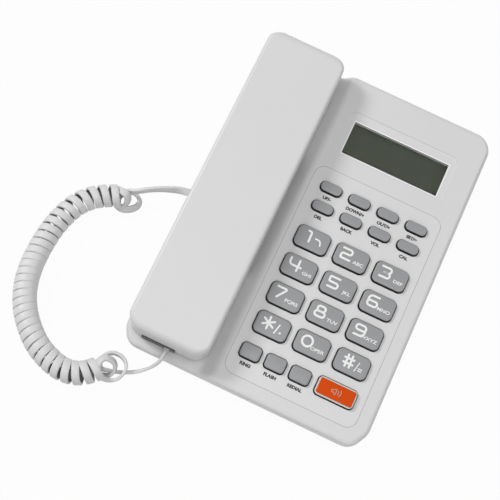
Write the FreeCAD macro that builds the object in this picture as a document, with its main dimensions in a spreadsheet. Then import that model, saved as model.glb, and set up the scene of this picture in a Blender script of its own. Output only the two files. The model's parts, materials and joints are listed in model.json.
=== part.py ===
import FreeCAD, Part
import itertools
import math
import os

import Sketcher

# Corded desk telephone with a display, a big-button keypad, a handset in a side cradle and a curly cord.
# Row frame in millimetres: +X to the user's right, +Y to the back, +Z up, origin under the base's middle.

Vector = FreeCAD.Vector
doc = FreeCAD.newDocument("corded_phone")
sheet = doc.addObject("Spreadsheet::Sheet", "Sizes")
nodes = []


class Size:
    """A number of the sheet, or one worked out from such numbers: its formula and its value."""

    def __init__(self, formula, value):
        self.formula = formula
        self.value = value

    def __add__(self, other):
        return Size(f"({self.formula} + {as_size(other).formula})", self.value + as_size(other).value)

    def __sub__(self, other):
        return Size(f"({self.formula} - {as_size(other).formula})", self.value - as_size(other).value)

    def __mul__(self, other):
        return Size(f"({self.formula} * {as_size(other).formula})", self.value * as_size(other).value)

    def __truediv__(self, other):
        return Size(f"({self.formula} / {as_size(other).formula})", self.value / as_size(other).value)

    def __neg__(self):
        return Size(f"(0 - {self.formula})", -self.value)

    def __radd__(self, other):
        return as_size(other) + self

    def __rsub__(self, other):
        return as_size(other) - self

    def __rmul__(self, other):
        return as_size(other) * self


def as_size(number):
    if isinstance(number, Size):
        return number
    return Size(f"({float(number)})", float(number))


def sine(angle):
    return Size(f"sin({angle.formula})", math.sin(math.radians(angle.value)))


def cosine(angle):
    return Size(f"cos({angle.formula})", math.cos(math.radians(angle.value)))


def root(number):
    return Size(f"sqrt({number.formula})", math.sqrt(number.value))


def tangent(angle):
    return Size(f"tan({angle.formula})", math.tan(math.radians(angle.value)))


def driving(alias, value, meaning):
    """A driving size: one row of the sheet."""
    row = driving.rows = driving.rows + 1
    sheet.set(f"A{row}", meaning)
    sheet.set(f"B{row}", str(value))
    sheet.setAlias(f"B{row}", alias)
    return Size(f"Sizes.{alias}", float(value))


driving.rows = 0

# Base housing
base_width = driving("base_width", 151, "outer width of the base")
base_depth = driving("base_depth", 200, "outer depth of the base")
base_corner = driving("base_corner", 11, "plan radius of the base's corners")
front_height = driving("front_height", 18, "height of the top plane at the front edge")
top_slope = driving("top_slope", 9, "rise of the top plane to the back, in degrees")
seam_height = driving("seam_height", 6, "height of the seam between the two housings")
base_wall = driving("base_wall", 2.2, "thickness of the side walls")
base_roof = driving("base_roof", 2.6, "thickness of the top skin")
base_floor = driving("base_floor", 2.4, "thickness of the floor")
rim_round = driving("rim_round", 3, "rounding of the top rim")
foot_height = driving("foot_height", 1.5, "height of the feet below the floor")
foot_radius = driving("foot_radius", 6, "radius of a foot")
foot_inset = driving("foot_inset", 17, "foot centre to the edge of the base")
grip_depth = driving("grip_depth", 2, "depth of the long recess in the right side")
grip_front = driving("grip_front", 16, "front end of that recess, along the slope")

# Cradle
deck_drop = driving("deck_drop", 7, "depth of the cradle's deck under the top plane")
valley_right = driving("valley_right", -15.5, "right end of the valley beside the handset")
valley_angle = driving("valley_angle", 45, "steepest slope of the valley, in degrees")
valley_round = driving("valley_round", 6, "radius of the valley's two bends")
well_depth = driving("well_depth", 5.6, "depth of the two wells in the deck")
well_gap = driving("well_gap", 0.8, "clearance round a cup in its well")

# Handset
handset_width = driving("handset_width", 49, "width of the handset")
handset_length = driving("handset_length", 197, "length of the handset")
handset_centre_x = driving("handset_centre_x", -49.4, "middle of the handset across")
handset_centre_v = driving("handset_centre_v", 0.9, "middle of the handset along the slope")
handset_crown = driving("handset_crown", 22, "top of the handset over the top plane")
handset_sag = driving("handset_sag", 2.5, "fall of the handset's top from the middle to the ends")
handset_part = driving("handset_part", 6, "parting plane of the handset over the top plane")
handset_corner = driving("handset_corner", 9, "plan radius of the handset's corners")
handset_round = driving("handset_round", 6, "rounding of the handset's top rim")
handset_wall = driving("handset_wall", 2, "thickness of the handset's shells")
handset_lift = driving("handset_lift", 1, "gap between the handset and the deck")
grip_height = driving("grip_height", 9, "finger gap between the grip and the deck")
cup_length = driving("cup_length", 44, "length of an ear or mouth cup")
cup_inset = driving("cup_inset", 3.6, "cup to the side of the handset")
cup_depth = driving("cup_depth", 5, "depth of a cup under the deck")
cup_corner = driving("cup_corner", 9, "plan radius of a cup's corners")
arch_length = driving("arch_length", 84, "length of the grip's arch at the deck")
arch_slope = driving("arch_slope", 10, "run of each end of the arch")

# Keypad
keypad_x = driving("keypad_x", 25.6, "middle of the keypad across")
keypad_v = driving("keypad_v", -33.4, "middle of the digit keys along the slope")
panel_width = driving("panel_width", 81.4, "width of the keypad panel")
panel_length = driving("panel_length", 135, "length of the keypad panel")
panel_shift = driving("panel_shift", 5.7, "panel's middle behind the digit keys' middle")
panel_corner = driving("panel_corner", 6.5, "plan radius of the panel's corners")
panel_thickness = driving("panel_thickness", 1.6, "thickness of the keypad panel")
panel_groove = driving("panel_groove", 0.3, "groove round the panel")
panel_ledge = driving("panel_ledge", 3.5, "width of the ledge under the panel")
key_rise = driving("key_rise", 2.2, "height of the keys over the panel")
key_travel = driving("key_travel", 1.3, "travel of a key")
key_gap = driving("key_gap", 0.4, "gap round a key in the panel")
key_flange = driving("key_flange", 1, "width and thickness of a key's flange")
key_seat = driving("key_seat", 0.3, "gap between a key's flange and the panel, and over its dome")
key_round = driving("key_round", 0.6, "bevel of a key's top")
digit_width = driving("digit_width", 20.6, "width of a digit key")
digit_length = driving("digit_length", 13.6, "length of a digit key")
digit_corner = driving("digit_corner", 3.4, "corner radius of a digit key")
digit_pitch_x = driving("digit_pitch_x", 25.0, "digit key pitch across")
digit_pitch_v = driving("digit_pitch_v", 18.75, "digit key pitch along the slope")
pill_width = driving("pill_width", 13.4, "width of a function key")
pill_length = driving("pill_length", 6.6, "length of a function key")
pill_corner = driving("pill_corner", 2.9, "corner radius of a function key")
pill_pitch_x = driving("pill_pitch_x", 18.35, "function key pitch across")
pill_pitch_v = driving("pill_pitch_v", 12.8, "function key pitch along the slope")
pill_shift = driving("pill_shift", 55.2, "middle of the function keys behind the digit keys' middle")
square_width = driving("square_width", 12.4, "width of a memory key")
square_length = driving("square_length", 9, "length of a memory key")
square_corner = driving("square_corner", 2.4, "corner radius of a memory key")
square_pitch = driving("square_pitch", 15.4, "memory key pitch")
square_x = driving("square_x", 11.3, "middle of the memory keys across")
square_shift = driving("square_shift", -46.6, "memory keys behind the digit keys' middle")
speech_width = driving("speech_width", 24, "width of the hands-free key")
speech_length = driving("speech_length", 11.4, "length of the hands-free key")
speech_corner = driving("speech_corner", 2.6, "corner radius of the hands-free key")
speech_x = driving("speech_x", 48.9, "middle of the hands-free key across")
speech_border = driving("speech_border", 1.1, "border round the hands-free key's cap")
cap_height = driving("cap_height", 0.8, "height of the hands-free key's cap")
mat_thickness = driving("mat_thickness", 0.9, "thickness of the keymat's web")
board_thickness = driving("board_thickness", 1.6, "thickness of the circuit boards")

# Display
display_x = driving("display_x", 25.1, "middle of the display across")
display_v = driving("display_v", 62.6, "middle of the display along the slope")
display_width = driving("display_width", 62, "width of the display's window")
display_length = driving("display_length", 21.7, "length of the display's window")
bezel_side = driving("bezel_side", 4.5, "bezel beside the window")
bezel_top = driving("bezel_top", 6.2, "bezel behind the window")
bezel_bottom = driving("bezel_bottom", 5.5, "bezel in front of the window")
bezel_depth = driving("bezel_depth", 1.6, "depth of the bezel at its back edge")
lens_thickness = driving("lens_thickness", 1.4, "thickness of the display's clear lens")
module_thickness = driving("module_thickness", 3.2, "thickness of the display module")

# Hook switch
hook_v = driving("hook_v", 60, "hook plunger along the slope")
plunger_radius = driving("plunger_radius", 4, "radius of the hook plunger")
hook_travel = driving("hook_travel", 4, "travel of the hook plunger")

# Sockets and cord
socket_width = driving("socket_width", 7.9, "width of the cord's sockets")
socket_height = driving("socket_height", 6.9, "height of the cord's sockets")
jack_size = driving("jack_size", 11.4, "width of a jack's body")
jack_length = driving("jack_length", 13, "length of a jack's body")
jack_height = driving("jack_height", 8.6, "height of a jack's body")
socket_y = driving("socket_y", -2.5, "cord socket in the left wall, along Y")
socket_z = driving("socket_z", 14, "cord socket's middle over the floor")
line_x = driving("line_x", 45, "line socket in the back wall, along X")
line_width = driving("line_width", 9.9, "width of the line socket")
plug_gap = driving("plug_gap", 0.15, "clearance round a plug in its socket")
cord_size = driving("cord_size", 3.2, "diameter of the cord")
coil_radius = driving("coil_radius", 7.6, "outer radius of the curls")
coil_turns = driving("coil_turns", 34, "number of curls")
plug_length = driving("plug_length", 9, "length of a plug in its socket")
plug_tail = driving("plug_tail", 4.2, "length of a plug in front of its socket")
notch_x = driving("notch_x", -4, "middle of the cord's notch in the handset's front end")
notch_width = driving("notch_width", 21, "width of that notch")
handset_jack_x = driving("handset_jack_x", 1.6, "middle of the handset's jack across")
jack_drop = driving("jack_drop", 0.6, "handset jack's bottom under the handset's underside")
receiver_radius = driving("receiver_radius", 16.5, "radius of the handset's receiver capsule")
receiver_height = driving("receiver_height", 7, "height of the receiver capsule")
bar_width = driving("bar_width", 22, "width of the handset's steel bar")
bar_length = driving("bar_length", 58, "length of the handset's steel bar")
bar_height = driving("bar_height", 5, "thickness of the handset's steel bar")

# Inside of the base
boss_radius = driving("boss_radius", 3.2, "radius of a screw boss")
screw_radius = driving("screw_radius", 1.45, "radius of a screw's thread")
screw_length = driving("screw_length", 9.4, "length of a screw's thread")
screw_gap = driving("screw_gap", 0.05, "clearance round a screw")
head_radius = driving("head_radius", 2.8, "radius of a screw's head")
head_height = driving("head_height", 1.4, "height of a screw's head")
head_recess = driving("head_recess", 1.6, "depth of a screw head's recess")
floor_round = driving("floor_round", 1.6, "bevel of the lower housing's bottom edge")
foot_recess = driving("foot_recess", 0.8, "depth of a foot's recess")
bay_x = driving("bay_x", 28, "middle of the battery bay across")
bay_y = driving("bay_y", 54, "middle of the battery bay along Y")
bay_width = driving("bay_width", 54, "width of the battery bay")
bay_length = driving("bay_length", 40, "length of the battery bay")
bay_depth = driving("bay_depth", 15, "depth of the battery bay from its door's seat")
bay_wall = driving("bay_wall", 1.6, "thickness of the battery bay's walls")
door_border = driving("door_border", 3, "overlap of the battery door on its seat")
door_thickness = driving("door_thickness", 1.2, "thickness of the battery door")
door_gap = driving("door_gap", 0.3, "gap round the battery door")
speaker_x = driving("speaker_x", -40, "middle of the loudspeaker across")
speaker_y = driving("speaker_y", 12, "middle of the loudspeaker along Y")
speaker_radius = driving("speaker_radius", 20, "radius of the loudspeaker")
speaker_height = driving("speaker_height", 14, "height of the loudspeaker")
grille_slot = driving("grille_slot", 1.8, "width of a slot of the grille")
grille_pitch = driving("grille_pitch", 3.8, "pitch of the grille's slots")
main_x = driving("main_x", 26, "middle of the main board across")
main_y = driving("main_y", -28, "middle of the main board along Y")
main_width = driving("main_width", 72, "width of the main board")
main_length = driving("main_length", 84, "length of the main board")
main_rise = driving("main_rise", 4.2, "height of the main board over the floor")
weight_x = driving("weight_x", -38, "middle of the ballast plate across")
weight_y = driving("weight_y", -29, "middle of the ballast plate along Y")
weight_width = driving("weight_width", 44, "width of the ballast plate")
weight_length = driving("weight_length", 32, "length of the ballast plate")
weight_height = driving("weight_height", 5, "thickness of the ballast plate")

top_plane_z = front_height + base_depth / 2 * tangent(top_slope)


def tilted(x, v, w):
    """Formula of the placement at x across, v along the top plane and w over it."""
    y_place = v * cosine(top_slope) - w * sine(top_slope)
    z_place = top_plane_z + v * sine(top_slope) + w * cosine(top_slope)
    return place_formula(x, y_place, z_place, top_slope)


def place_formula(x, y, z, angle=0, axis="vector(1; 0; 0)"):
    where = "; ".join(as_size(number).formula for number in (x, y, z))
    return f"placement(vector({where}); {axis}; {as_size(angle).formula})"


def new_body(name, node=True):
    body = doc.addObject("PartDesign::Body", name)
    body.Label = name
    if node:
        nodes.append(body)
    return body


def new_sketch(body, name, plane="XY_Plane", offset=None):
    sketch = body.newObject("Sketcher::SketchObject", f"{body.Name}_{name}")
    support = [feature for feature in body.Origin.OriginFeatures if feature.Role == plane][0]
    sketch.AttachmentSupport = [(support, "")]
    sketch.MapMode = "FlatFace"
    if offset:
        sketch.setExpression("AttachmentOffset", offset)
    return sketch


def constrain(sketch, kind, *arguments, size):
    index = sketch.addConstraint(Sketcher.Constraint(kind, *arguments, as_size(size).value))
    sketch.setExpression(f"Constraints[{index}]", as_size(size).formula)


def fix_point(sketch, geometry, end, x, y):
    """Holds one end of a line, or the middle of a circle (end 3), at x, y."""
    constrain(sketch, "DistanceX", -1, 1, geometry, end, size=x)
    constrain(sketch, "DistanceY", -1, 1, geometry, end, size=y)


def rounded_rectangle(sketch, left, right, low, high, radius):
    left, right, low, high, radius = (as_size(number) for number in (left, right, low, high, radius))
    x0, x1, y0, y1, r = left.value, right.value, low.value, high.value, radius.value
    corners = [
        (x0 + r, y0, x1 - r, y0),
        (x1, y0 + r, x1, y1 - r),
        (x1 - r, y1, x0 + r, y1),
        (x0, y1 - r, x0, y0 + r),
    ]
    middles = [(x1 - r, y0 + r), (x1 - r, y1 - r), (x0 + r, y1 - r), (x0 + r, y0 + r)]
    lines = []
    arcs = []
    for side in range(4):
        ax, ay, bx, by = corners[side]
        lines.append(sketch.addGeometry(Part.LineSegment(Vector(ax, ay, 0), Vector(bx, by, 0)), False))
        circle = Part.Circle(Vector(*middles[side], 0), Vector(0, 0, 1), r)
        start = math.radians(90 * side - 90)
        arcs.append(sketch.addGeometry(Part.ArcOfCircle(circle, start, start + math.pi / 2), False))
    for side in range(4):
        sketch.addConstraint(Sketcher.Constraint("Tangent", lines[side], 2, arcs[side], 1))
        sketch.addConstraint(Sketcher.Constraint("Tangent", arcs[side], 2, lines[(side + 1) % 4], 1))
        lie = "Horizontal" if side % 2 == 0 else "Vertical"
        sketch.addConstraint(Sketcher.Constraint(lie, lines[side]))
    for side in range(1, 4):
        sketch.addConstraint(Sketcher.Constraint("Equal", arcs[0], arcs[side]))
    constrain(sketch, "Radius", arcs[0], size=radius)
    constrain(sketch, "DistanceY", -1, 1, lines[0], 1, size=low)
    constrain(sketch, "DistanceX", -1, 1, lines[1], 1, size=right)
    constrain(sketch, "DistanceY", -1, 1, lines[2], 1, size=high)
    constrain(sketch, "DistanceX", -1, 1, lines[3], 1, size=left)


def centred_rectangle(sketch, x, y, width, length, radius):
    rounded_rectangle(sketch, x - width / 2, x + width / 2, y - length / 2, y + length / 2, radius)


def circle(sketch, x, y, radius):
    x, y, radius = as_size(x), as_size(y), as_size(radius)
    shape = Part.Circle(Vector(x.value, y.value, 0), Vector(0, 0, 1), radius.value)
    index = sketch.addGeometry(shape, False)
    constrain(sketch, "Radius", index, size=radius)
    fix_point(sketch, index, 3, x, y)


def outline(sketch, *corners):
    """A closed outline. A corner is (x, y), or (x, y, radius) where an arc leads to it: a radius
    over 0 turns left on the way, one under 0 turns right."""
    pieces = []
    count = len(corners)
    for index in range(count):
        start = [as_size(number) for number in corners[index - 1][:2]]
        end = [as_size(number) for number in corners[index][:2]]
        a = Vector(start[0].value, start[1].value, 0)
        b = Vector(end[0].value, end[1].value, 0)
        if len(corners[index]) == 2:
            line = sketch.addGeometry(Part.LineSegment(a, b), False)
            pieces.append((line, 1, 2))
            fix_point(sketch, line, 2, *end)
            continue
        radius = as_size(corners[index][2])
        left_turn = radius.value > 0
        r = abs(radius.value)
        half = (b - a).Length / 2
        across = Vector(-(b - a).y, (b - a).x, 0).normalize()
        middle = (a + b) / 2 + across * math.sqrt(max(r * r - half * half, 0)) * (1 if left_turn else -1)
        first, last = (a, b) if left_turn else (b, a)
        angle_0 = math.atan2(first.y - middle.y, first.x - middle.x)
        angle_1 = math.atan2(last.y - middle.y, last.x - middle.x)
        if angle_1 < angle_0:
            angle_1 += 2 * math.pi
        shape = Part.ArcOfCircle(Part.Circle(middle, Vector(0, 0, 1), r), angle_0, angle_1)
        arc = sketch.addGeometry(shape, False)
        ends = (1, 2) if left_turn else (2, 1)
        pieces.append((arc, *ends))
        constrain(sketch, "Radius", arc, size=radius if left_turn else -radius)
        fix_point(sketch, arc, ends[1], *end)
    for index in range(count):
        before, this = pieces[index - 1], pieces[index]
        sketch.addConstraint(Sketcher.Constraint("Coincident", before[0], before[2], this[0], this[1]))


def block_outline(sketch, x, y, width, length):
    """A rectangle with sharp corners round x, y."""
    left, right = x - width / 2, x + width / 2
    low, high = y - length / 2, y + length / 2
    outline(sketch, (left, low), (right, low), (right, high), (left, high))


def extrude(kind, sketch, length, reverse=False, both=False):
    body = sketch.getParentGeoFeatureGroup()
    feature = body.newObject(f"PartDesign::{kind}", f"{sketch.Name}_{kind.lower()}")
    feature.Profile = sketch
    feature.Reversed = reverse
    feature.SideType = "Symmetric" if both else "One side"
    feature.Length = as_size(length).value
    feature.setExpression("Length", as_size(length).formula)
    sketch.Visibility = False
    return feature


def pad(sketch, length, **options):
    return extrude("Pad", sketch, length, **options)


def pocket(sketch, length, **options):
    """Cuts against the sketch's normal, or along it with reverse."""
    return extrude("Pocket", sketch, length, **options)


def pattern(feature, sketch, count_x=1, pitch_x=None, count_y=1, pitch_y=None):
    """Repeats a feature along its sketch's two axes."""
    body = feature.getParentGeoFeatureGroup()
    repeat = body.newObject("PartDesign::LinearPattern", f"{feature.Name}_pattern")
    repeat.Originals = [feature]
    repeat.Direction = (sketch, ["H_Axis"])
    repeat.Occurrences = count_x
    if count_x > 1:
        repeat.setExpression("Length", (pitch_x * (count_x - 1)).formula)
    if count_y > 1:
        repeat.Direction2 = (sketch, ["V_Axis"])
        repeat.Occurrences2 = count_y
        repeat.setExpression("Length2", (pitch_y * (count_y - 1)).formula)
    body.Tip = repeat
    return repeat


def dress_edges(kind, size_name, body, base, wanted, size, name):
    doc.recompute()
    names = [f"Edge{index + 1}" for index, edge in enumerate(base.Shape.Edges) if wanted(edge)]
    feature = body.newObject(f"PartDesign::{kind}", f"{body.Name}_{name}")
    feature.Base = (base, names)
    setattr(feature, size_name, as_size(size).value)
    feature.setExpression(size_name, as_size(size).formula)
    return feature


def round_edges(body, base, wanted, radius, name):
    """Rounds the edges of a feature that wanted(edge) picks."""
    return dress_edges("Fillet", "Radius", body, base, wanted, radius, name)


def bevel_edges(body, base, wanted, size, name):
    """Bevels the edges of a feature that wanted(edge) picks."""
    return dress_edges("Chamfer", "Size", body, base, wanted, size, name)


def along(edge, w_axis):
    """Height of an edge's middle along an axis."""
    middle = edge.valueAt((edge.FirstParameter + edge.LastParameter) / 2)
    return middle.dot(w_axis)


def combine(kind, name, base, tools, node=True):
    """A cut of tools from base, or a fusion of them."""
    feature = doc.addObject(f"Part::{kind}", name)
    feature.Label = name
    if kind == "Cut":
        feature.Base = base
        feature.Tool = tools
    else:
        feature.Shapes = [base] + list(tools)
    feature.Refine = True
    if base in nodes:
        nodes.remove(base)
    if node:
        nodes.append(feature)
    return feature


# Base housings
half_width = base_width / 2
half_depth = base_depth / 2
deck_w = -deck_drop
well_w = deck_w - well_depth
cup_width = handset_width - 2 * cup_inset
cup_v = handset_length / 2 - cup_inset - cup_length / 2
well_width = cup_width + 2 * well_gap
well_length = cup_length + 2 * well_gap
block_height = base_depth * tangent(top_slope) + front_height + 20
top_normal = Vector(0, -sine(top_slope).value, cosine(top_slope).value)
wells = (handset_centre_v - cup_v, handset_centre_v + cup_v)
keypad_opening_width = panel_width - 2 * panel_ledge
keypad_opening_length = panel_length - 2 * panel_ledge
panel_v = keypad_v + panel_shift


def skyline(sketch, skin):
    """The part of the cross-section above the top plane, the valley and the deck, skin lower."""
    low = valley_round + skin
    high = valley_round - skin
    cut_top = base_depth / 2
    far = half_width + 15
    arc_cos = cosine(valley_angle)
    arc_sin = sine(valley_angle)
    straight_run = (deck_drop - 2 * valley_round * (1 - arc_cos)) * arc_cos / arc_sin
    high_x = valley_right
    low_x = high_x - 2 * valley_round * arc_sin - straight_run
    outline(
        sketch,
        (-far, cut_top),
        (-far, deck_w - skin),
        (low_x, deck_w - skin),
        (low_x + low * arc_sin, deck_w + valley_round - low * arc_cos, low),
        (high_x - high * arc_sin, -valley_round + high * arc_cos),
        (high_x, -skin, -high),
        (far, -skin),
        (far, cut_top),
    )


def base_block(name, inset, skin):
    """The solid under the top plane and the deck, drawn in at its sides and its top."""
    body = new_body(name, node=False)
    plan = new_sketch(body, "plan", offset=place_formula(0, 0, seam_height))
    centred_rectangle(plan, 0, 0, base_width - 2 * inset, base_depth - 2 * inset, base_corner - inset)
    pad(plan, block_height)
    section = new_sketch(body, "section", "XZ_Plane", place_formula(0, top_plane_z, 0, top_slope))
    skyline(section, as_size(skin))
    pocket(section, 3 * base_depth, both=True)
    return body


def tilted_cut(body, name, w, left, right, low, high, radius, depth=None, upward=True):
    """A pocket with its floor at w, square to the top plane."""
    plan = new_sketch(body, name, offset=tilted(0, 0, w))
    rounded_rectangle(plan, left, right, low, high, radius)
    return pocket(plan, as_size(30) if depth is None else depth, reverse=upward)


upper_skin = base_block("upper_skin", 0, 0)
skin_cut = upper_skin.Tip


def on_rim(edge):
    """An edge of the top skin that lies along the outer wall and not on the seam or up a wall."""
    if edge.BoundBox.ZMin < seam_height.value + 0.5:
        return False
    if abs(along(edge, Vector(0, 0, 1)) - edge.BoundBox.ZMin) < 1e-6 and edge.BoundBox.ZLength > 12:
        return False
    middle = edge.valueAt((edge.FirstParameter + edge.LastParameter) / 2)
    inside_x = half_width.value - abs(middle.x)
    inside_y = half_depth.value - abs(middle.y)
    vertical = edge.BoundBox.XLength < 1e-6 and edge.BoundBox.YLength < 1e-6
    corner = base_corner.value
    near_wall = inside_x < 1e-4 or inside_y < 1e-4 or (inside_x < corner and inside_y < corner)
    return near_wall and not vertical


rounded_skin = round_edges(upper_skin, skin_cut, on_rim, rim_round, "rim")
for number, place in enumerate(wells):
    half_x = well_width / 2
    half_v = well_length / 2
    tilted_cut(
        upper_skin,
        f"well_{number}",
        well_w,
        handset_centre_x - half_x,
        handset_centre_x + half_x,
        place - half_v,
        place + half_v,
        cup_corner + well_gap,
    )
seat_half_x = panel_width / 2 + panel_groove
seat_half_v = panel_length / 2 + panel_groove
tilted_cut(
    upper_skin,
    "panel_seat",
    -panel_thickness,
    keypad_x - seat_half_x,
    keypad_x + seat_half_x,
    panel_v - seat_half_v,
    panel_v + seat_half_v,
    panel_corner + panel_groove,
)
tilted_cut(
    upper_skin,
    "keypad_opening",
    -panel_thickness,
    keypad_x - keypad_opening_width / 2,
    keypad_x + keypad_opening_width / 2,
    panel_v - keypad_opening_length / 2,
    panel_v + keypad_opening_length / 2,
    panel_corner,
    depth=base_roof * 3,
    upward=False,
)

# The bezel's floor leans back less than the top plane, so that it runs out at its front edge.
bezel_front = display_length / 2 + bezel_bottom
bezel_back = display_length / 2 + bezel_top
bezel_slope = bezel_depth / (bezel_front + bezel_back)
bezel_lean = Size(f"(atan({bezel_slope.formula}) / 1 deg)", math.degrees(math.atan(bezel_slope.value)))


def bezel_frame(w):
    """Formula of the placement at the middle of the window, w over the bezel's floor."""
    floor_w = -bezel_slope * bezel_front
    lean = top_slope - bezel_lean
    y_place = display_v * cosine(top_slope) - floor_w * sine(top_slope) - w * sine(lean)
    z_place = top_plane_z + display_v * sine(top_slope) + floor_w * cosine(top_slope) + w * cosine(lean)
    return place_formula(display_x, y_place, z_place, lean)


bezel_plan = new_sketch(upper_skin, "bezel", offset=bezel_frame(0))
bezel_half = display_width / 2 + bezel_side
rounded_rectangle(bezel_plan, -bezel_half, bezel_half, -bezel_front - 3, bezel_back, as_size(5))
pocket(bezel_plan, as_size(12), reverse=True)
window_plan = new_sketch(upper_skin, "window", offset=bezel_frame(2))
centred_rectangle(window_plan, 0, 0, display_width, display_length, as_size(0.5))
pocket(window_plan, as_size(14))

# The long recess in the right side is a step in the top skin's edge.
grip_z = top_plane_z + grip_front * sine(top_slope)
grip_start = place_formula(0, grip_z, -grip_front * cosine(top_slope), top_slope)
grip_section = new_sketch(upper_skin, "grip", "XZ_Plane", grip_start)
grip_low = grip_depth * 1.2
outline(
    grip_section,
    (half_width - grip_depth, 4),
    (half_width - grip_depth, -grip_low),
    (half_width + 8, -grip_low),
    (half_width + 8, 4),
)
pocket(grip_section, base_depth)
floor_top = foot_height + base_floor
post_radius = panel_ledge / 2 - 0.1
board_post_x = keypad_opening_width / 2 + panel_ledge / 2 + 0.1
board_post_v = keypad_opening_length / 2 * 0.7
mat_w = -panel_thickness - 2 * key_seat - key_flange - key_travel - 0.7 - mat_thickness
keypad_board_w = mat_w - board_thickness
bosses = (
    (half_width - 11, -half_depth + 7),
    (half_width - 11, half_depth - 8),
    (-half_width + 8.5, as_size(-37)),
    (-half_width + 8.5, as_size(37)),
    (valley_right - 4.5, -half_depth + 7.5),
    (valley_right - 4.5, half_depth - 8),
)
pilot_depth = screw_length + head_recess + foot_height - seam_height + 1

# What the upper housing's skin is hollowed by: the space inside, less the wells, posts and bosses.
upper_hollow = base_block("upper_hollow", base_wall, base_roof)
for number, place in enumerate(wells):
    half_x = well_width / 2 + base_wall
    half_v = well_length / 2 + base_wall
    tilted_cut(
        upper_hollow,
        f"well_{number}",
        well_w - base_roof,
        handset_centre_x - half_x,
        handset_centre_x + half_x,
        place - half_v,
        place + half_v,
        cup_corner + well_gap + base_wall,
        depth=well_depth + deck_drop + 20,
    )
for number, (side, end) in enumerate(((-1, -1), (1, -1), (-1, 1), (1, 1))):
    post = new_sketch(upper_hollow, f"post_{number}", offset=tilted(0, 0, keypad_board_w + board_thickness))
    circle(post, keypad_x + side * board_post_x, panel_v + end * board_post_v, post_radius)
    pocket(post, as_size(20), reverse=True)
boss_plan = new_sketch(upper_hollow, "bosses", offset=place_formula(0, 0, seam_height - 1))
for x, y in bosses:
    circle(boss_plan, x, y, boss_radius)
pocket(boss_plan, block_height, reverse=True)
pilot_plan = new_sketch(upper_hollow, "pilots", offset=place_formula(0, 0, seam_height))
for x, y in bosses:
    circle(pilot_plan, x, y, screw_radius + screw_gap)
pad(pilot_plan, pilot_depth)

# Windows for the two sockets in the upper housing's walls
socket_plan = new_sketch(upper_skin, "cord_window", "YZ_Plane", place_formula(0, 0, -half_width - 1))
centred_rectangle(socket_plan, socket_y, socket_z, socket_width + 1, socket_height + 1, as_size(0.4))
pocket(socket_plan, base_wall + 2, reverse=True)
line_inner_y = half_depth - base_wall
line_plan = new_sketch(upper_skin, "line_window", "XZ_Plane", place_formula(0, 0, -line_inner_y + 1))
centred_rectangle(line_plan, line_x, socket_z, line_width + 1, socket_height + 1, as_size(0.4))
pocket(line_plan, base_wall + 2)
# The hook plunger's hole in the floor of the ear well
hook_hole = new_sketch(upper_skin, "hook_hole", offset=tilted(0, 0, well_w))
circle(hook_hole, handset_centre_x, hook_v, plunger_radius + key_gap)
pocket(hook_hole, base_roof * 2)

combine("Cut", "base_upper_housing", upper_skin, upper_hollow)


# Lower housing: a tray with the feet's recesses, the bosses, the grille and the battery bay
base_lower = new_body("base_lower_housing")
lower_plan = new_sketch(base_lower, "plan", offset=place_formula(0, 0, foot_height))
centred_rectangle(lower_plan, 0, 0, base_width, base_depth, base_corner)
lower_pad = pad(lower_plan, seam_height - foot_height)
floor_edge_z = foot_height.value + 0.1
bevel_edges(base_lower, lower_pad, lambda edge: edge.BoundBox.ZMax < floor_edge_z, floor_round, "bottom")
tray_plan = new_sketch(base_lower, "tray", offset=place_formula(0, 0, seam_height))
tray_width = base_width - 2 * base_wall
tray_length = base_depth - 2 * base_wall
centred_rectangle(tray_plan, 0, 0, tray_width, tray_length, base_corner - base_wall)
pocket(tray_plan, seam_height - floor_top)
stand_offs = new_sketch(base_lower, "bosses", offset=place_formula(0, 0, floor_top - base_floor / 2))
for x, y in bosses:
    circle(stand_offs, x, y, boss_radius)
pad(stand_offs, seam_height - floor_top + base_floor / 2)
main_posts = []
for side in (-1, 1):
    for end in (-1, 1):
        main_posts.append((main_x + side * (main_width / 2 - 4), main_y + end * (main_length / 2 - 4)))
board_posts = new_sketch(base_lower, "board_posts", offset=place_formula(0, 0, floor_top - base_floor / 2))
for x, y in main_posts:
    circle(board_posts, x, y, as_size(2.6))
pad(board_posts, main_rise + base_floor / 2)
bay_top = foot_height + door_thickness + bay_depth
pedestal_top = socket_z - jack_height / 2
jack_back_y = half_depth - base_wall - jack_length / 2
jack_left_x = -half_width + base_wall + jack_length / 2
pedestals = new_sketch(base_lower, "pedestals", offset=place_formula(0, 0, floor_top - base_floor / 2))
centred_rectangle(pedestals, line_x, jack_back_y, jack_size, jack_length - 1, as_size(1))
centred_rectangle(pedestals, jack_left_x, socket_y, jack_length - 1, jack_size, as_size(1))
pad(pedestals, pedestal_top - floor_top + base_floor / 2)
bay_block = new_sketch(base_lower, "bay_walls", offset=place_formula(0, 0, floor_top - base_floor / 2))
centred_rectangle(bay_block, bay_x, bay_y, bay_width + 2 * bay_wall, bay_length + 2 * bay_wall, as_size(2))
pad(bay_block, bay_top + bay_wall - floor_top + base_floor / 2)
bay_plan = new_sketch(base_lower, "bay", offset=place_formula(0, 0, foot_height))
centred_rectangle(bay_plan, bay_x, bay_y, bay_width, bay_length, as_size(1))
pocket(bay_plan, door_thickness + bay_depth, reverse=True)
seat_plan = new_sketch(base_lower, "door_seat", offset=place_formula(0, 0, foot_height))
seat_width = bay_width + 2 * door_border
seat_length = bay_length + 2 * door_border
centred_rectangle(seat_plan, bay_x, bay_y, seat_width, seat_length, as_size(2))
pocket(seat_plan, door_thickness, reverse=True)
foot_x = half_width - foot_inset
foot_y = half_depth - foot_inset
feet = [(side * foot_x, end * foot_y) for side in (-1, 1) for end in (-1, 1)]
foot_plan = new_sketch(base_lower, "feet", offset=place_formula(0, 0, foot_height))
for x, y in feet:
    circle(foot_plan, x, y, foot_radius + 0.2)
pocket(foot_plan, foot_recess, reverse=True)
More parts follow.
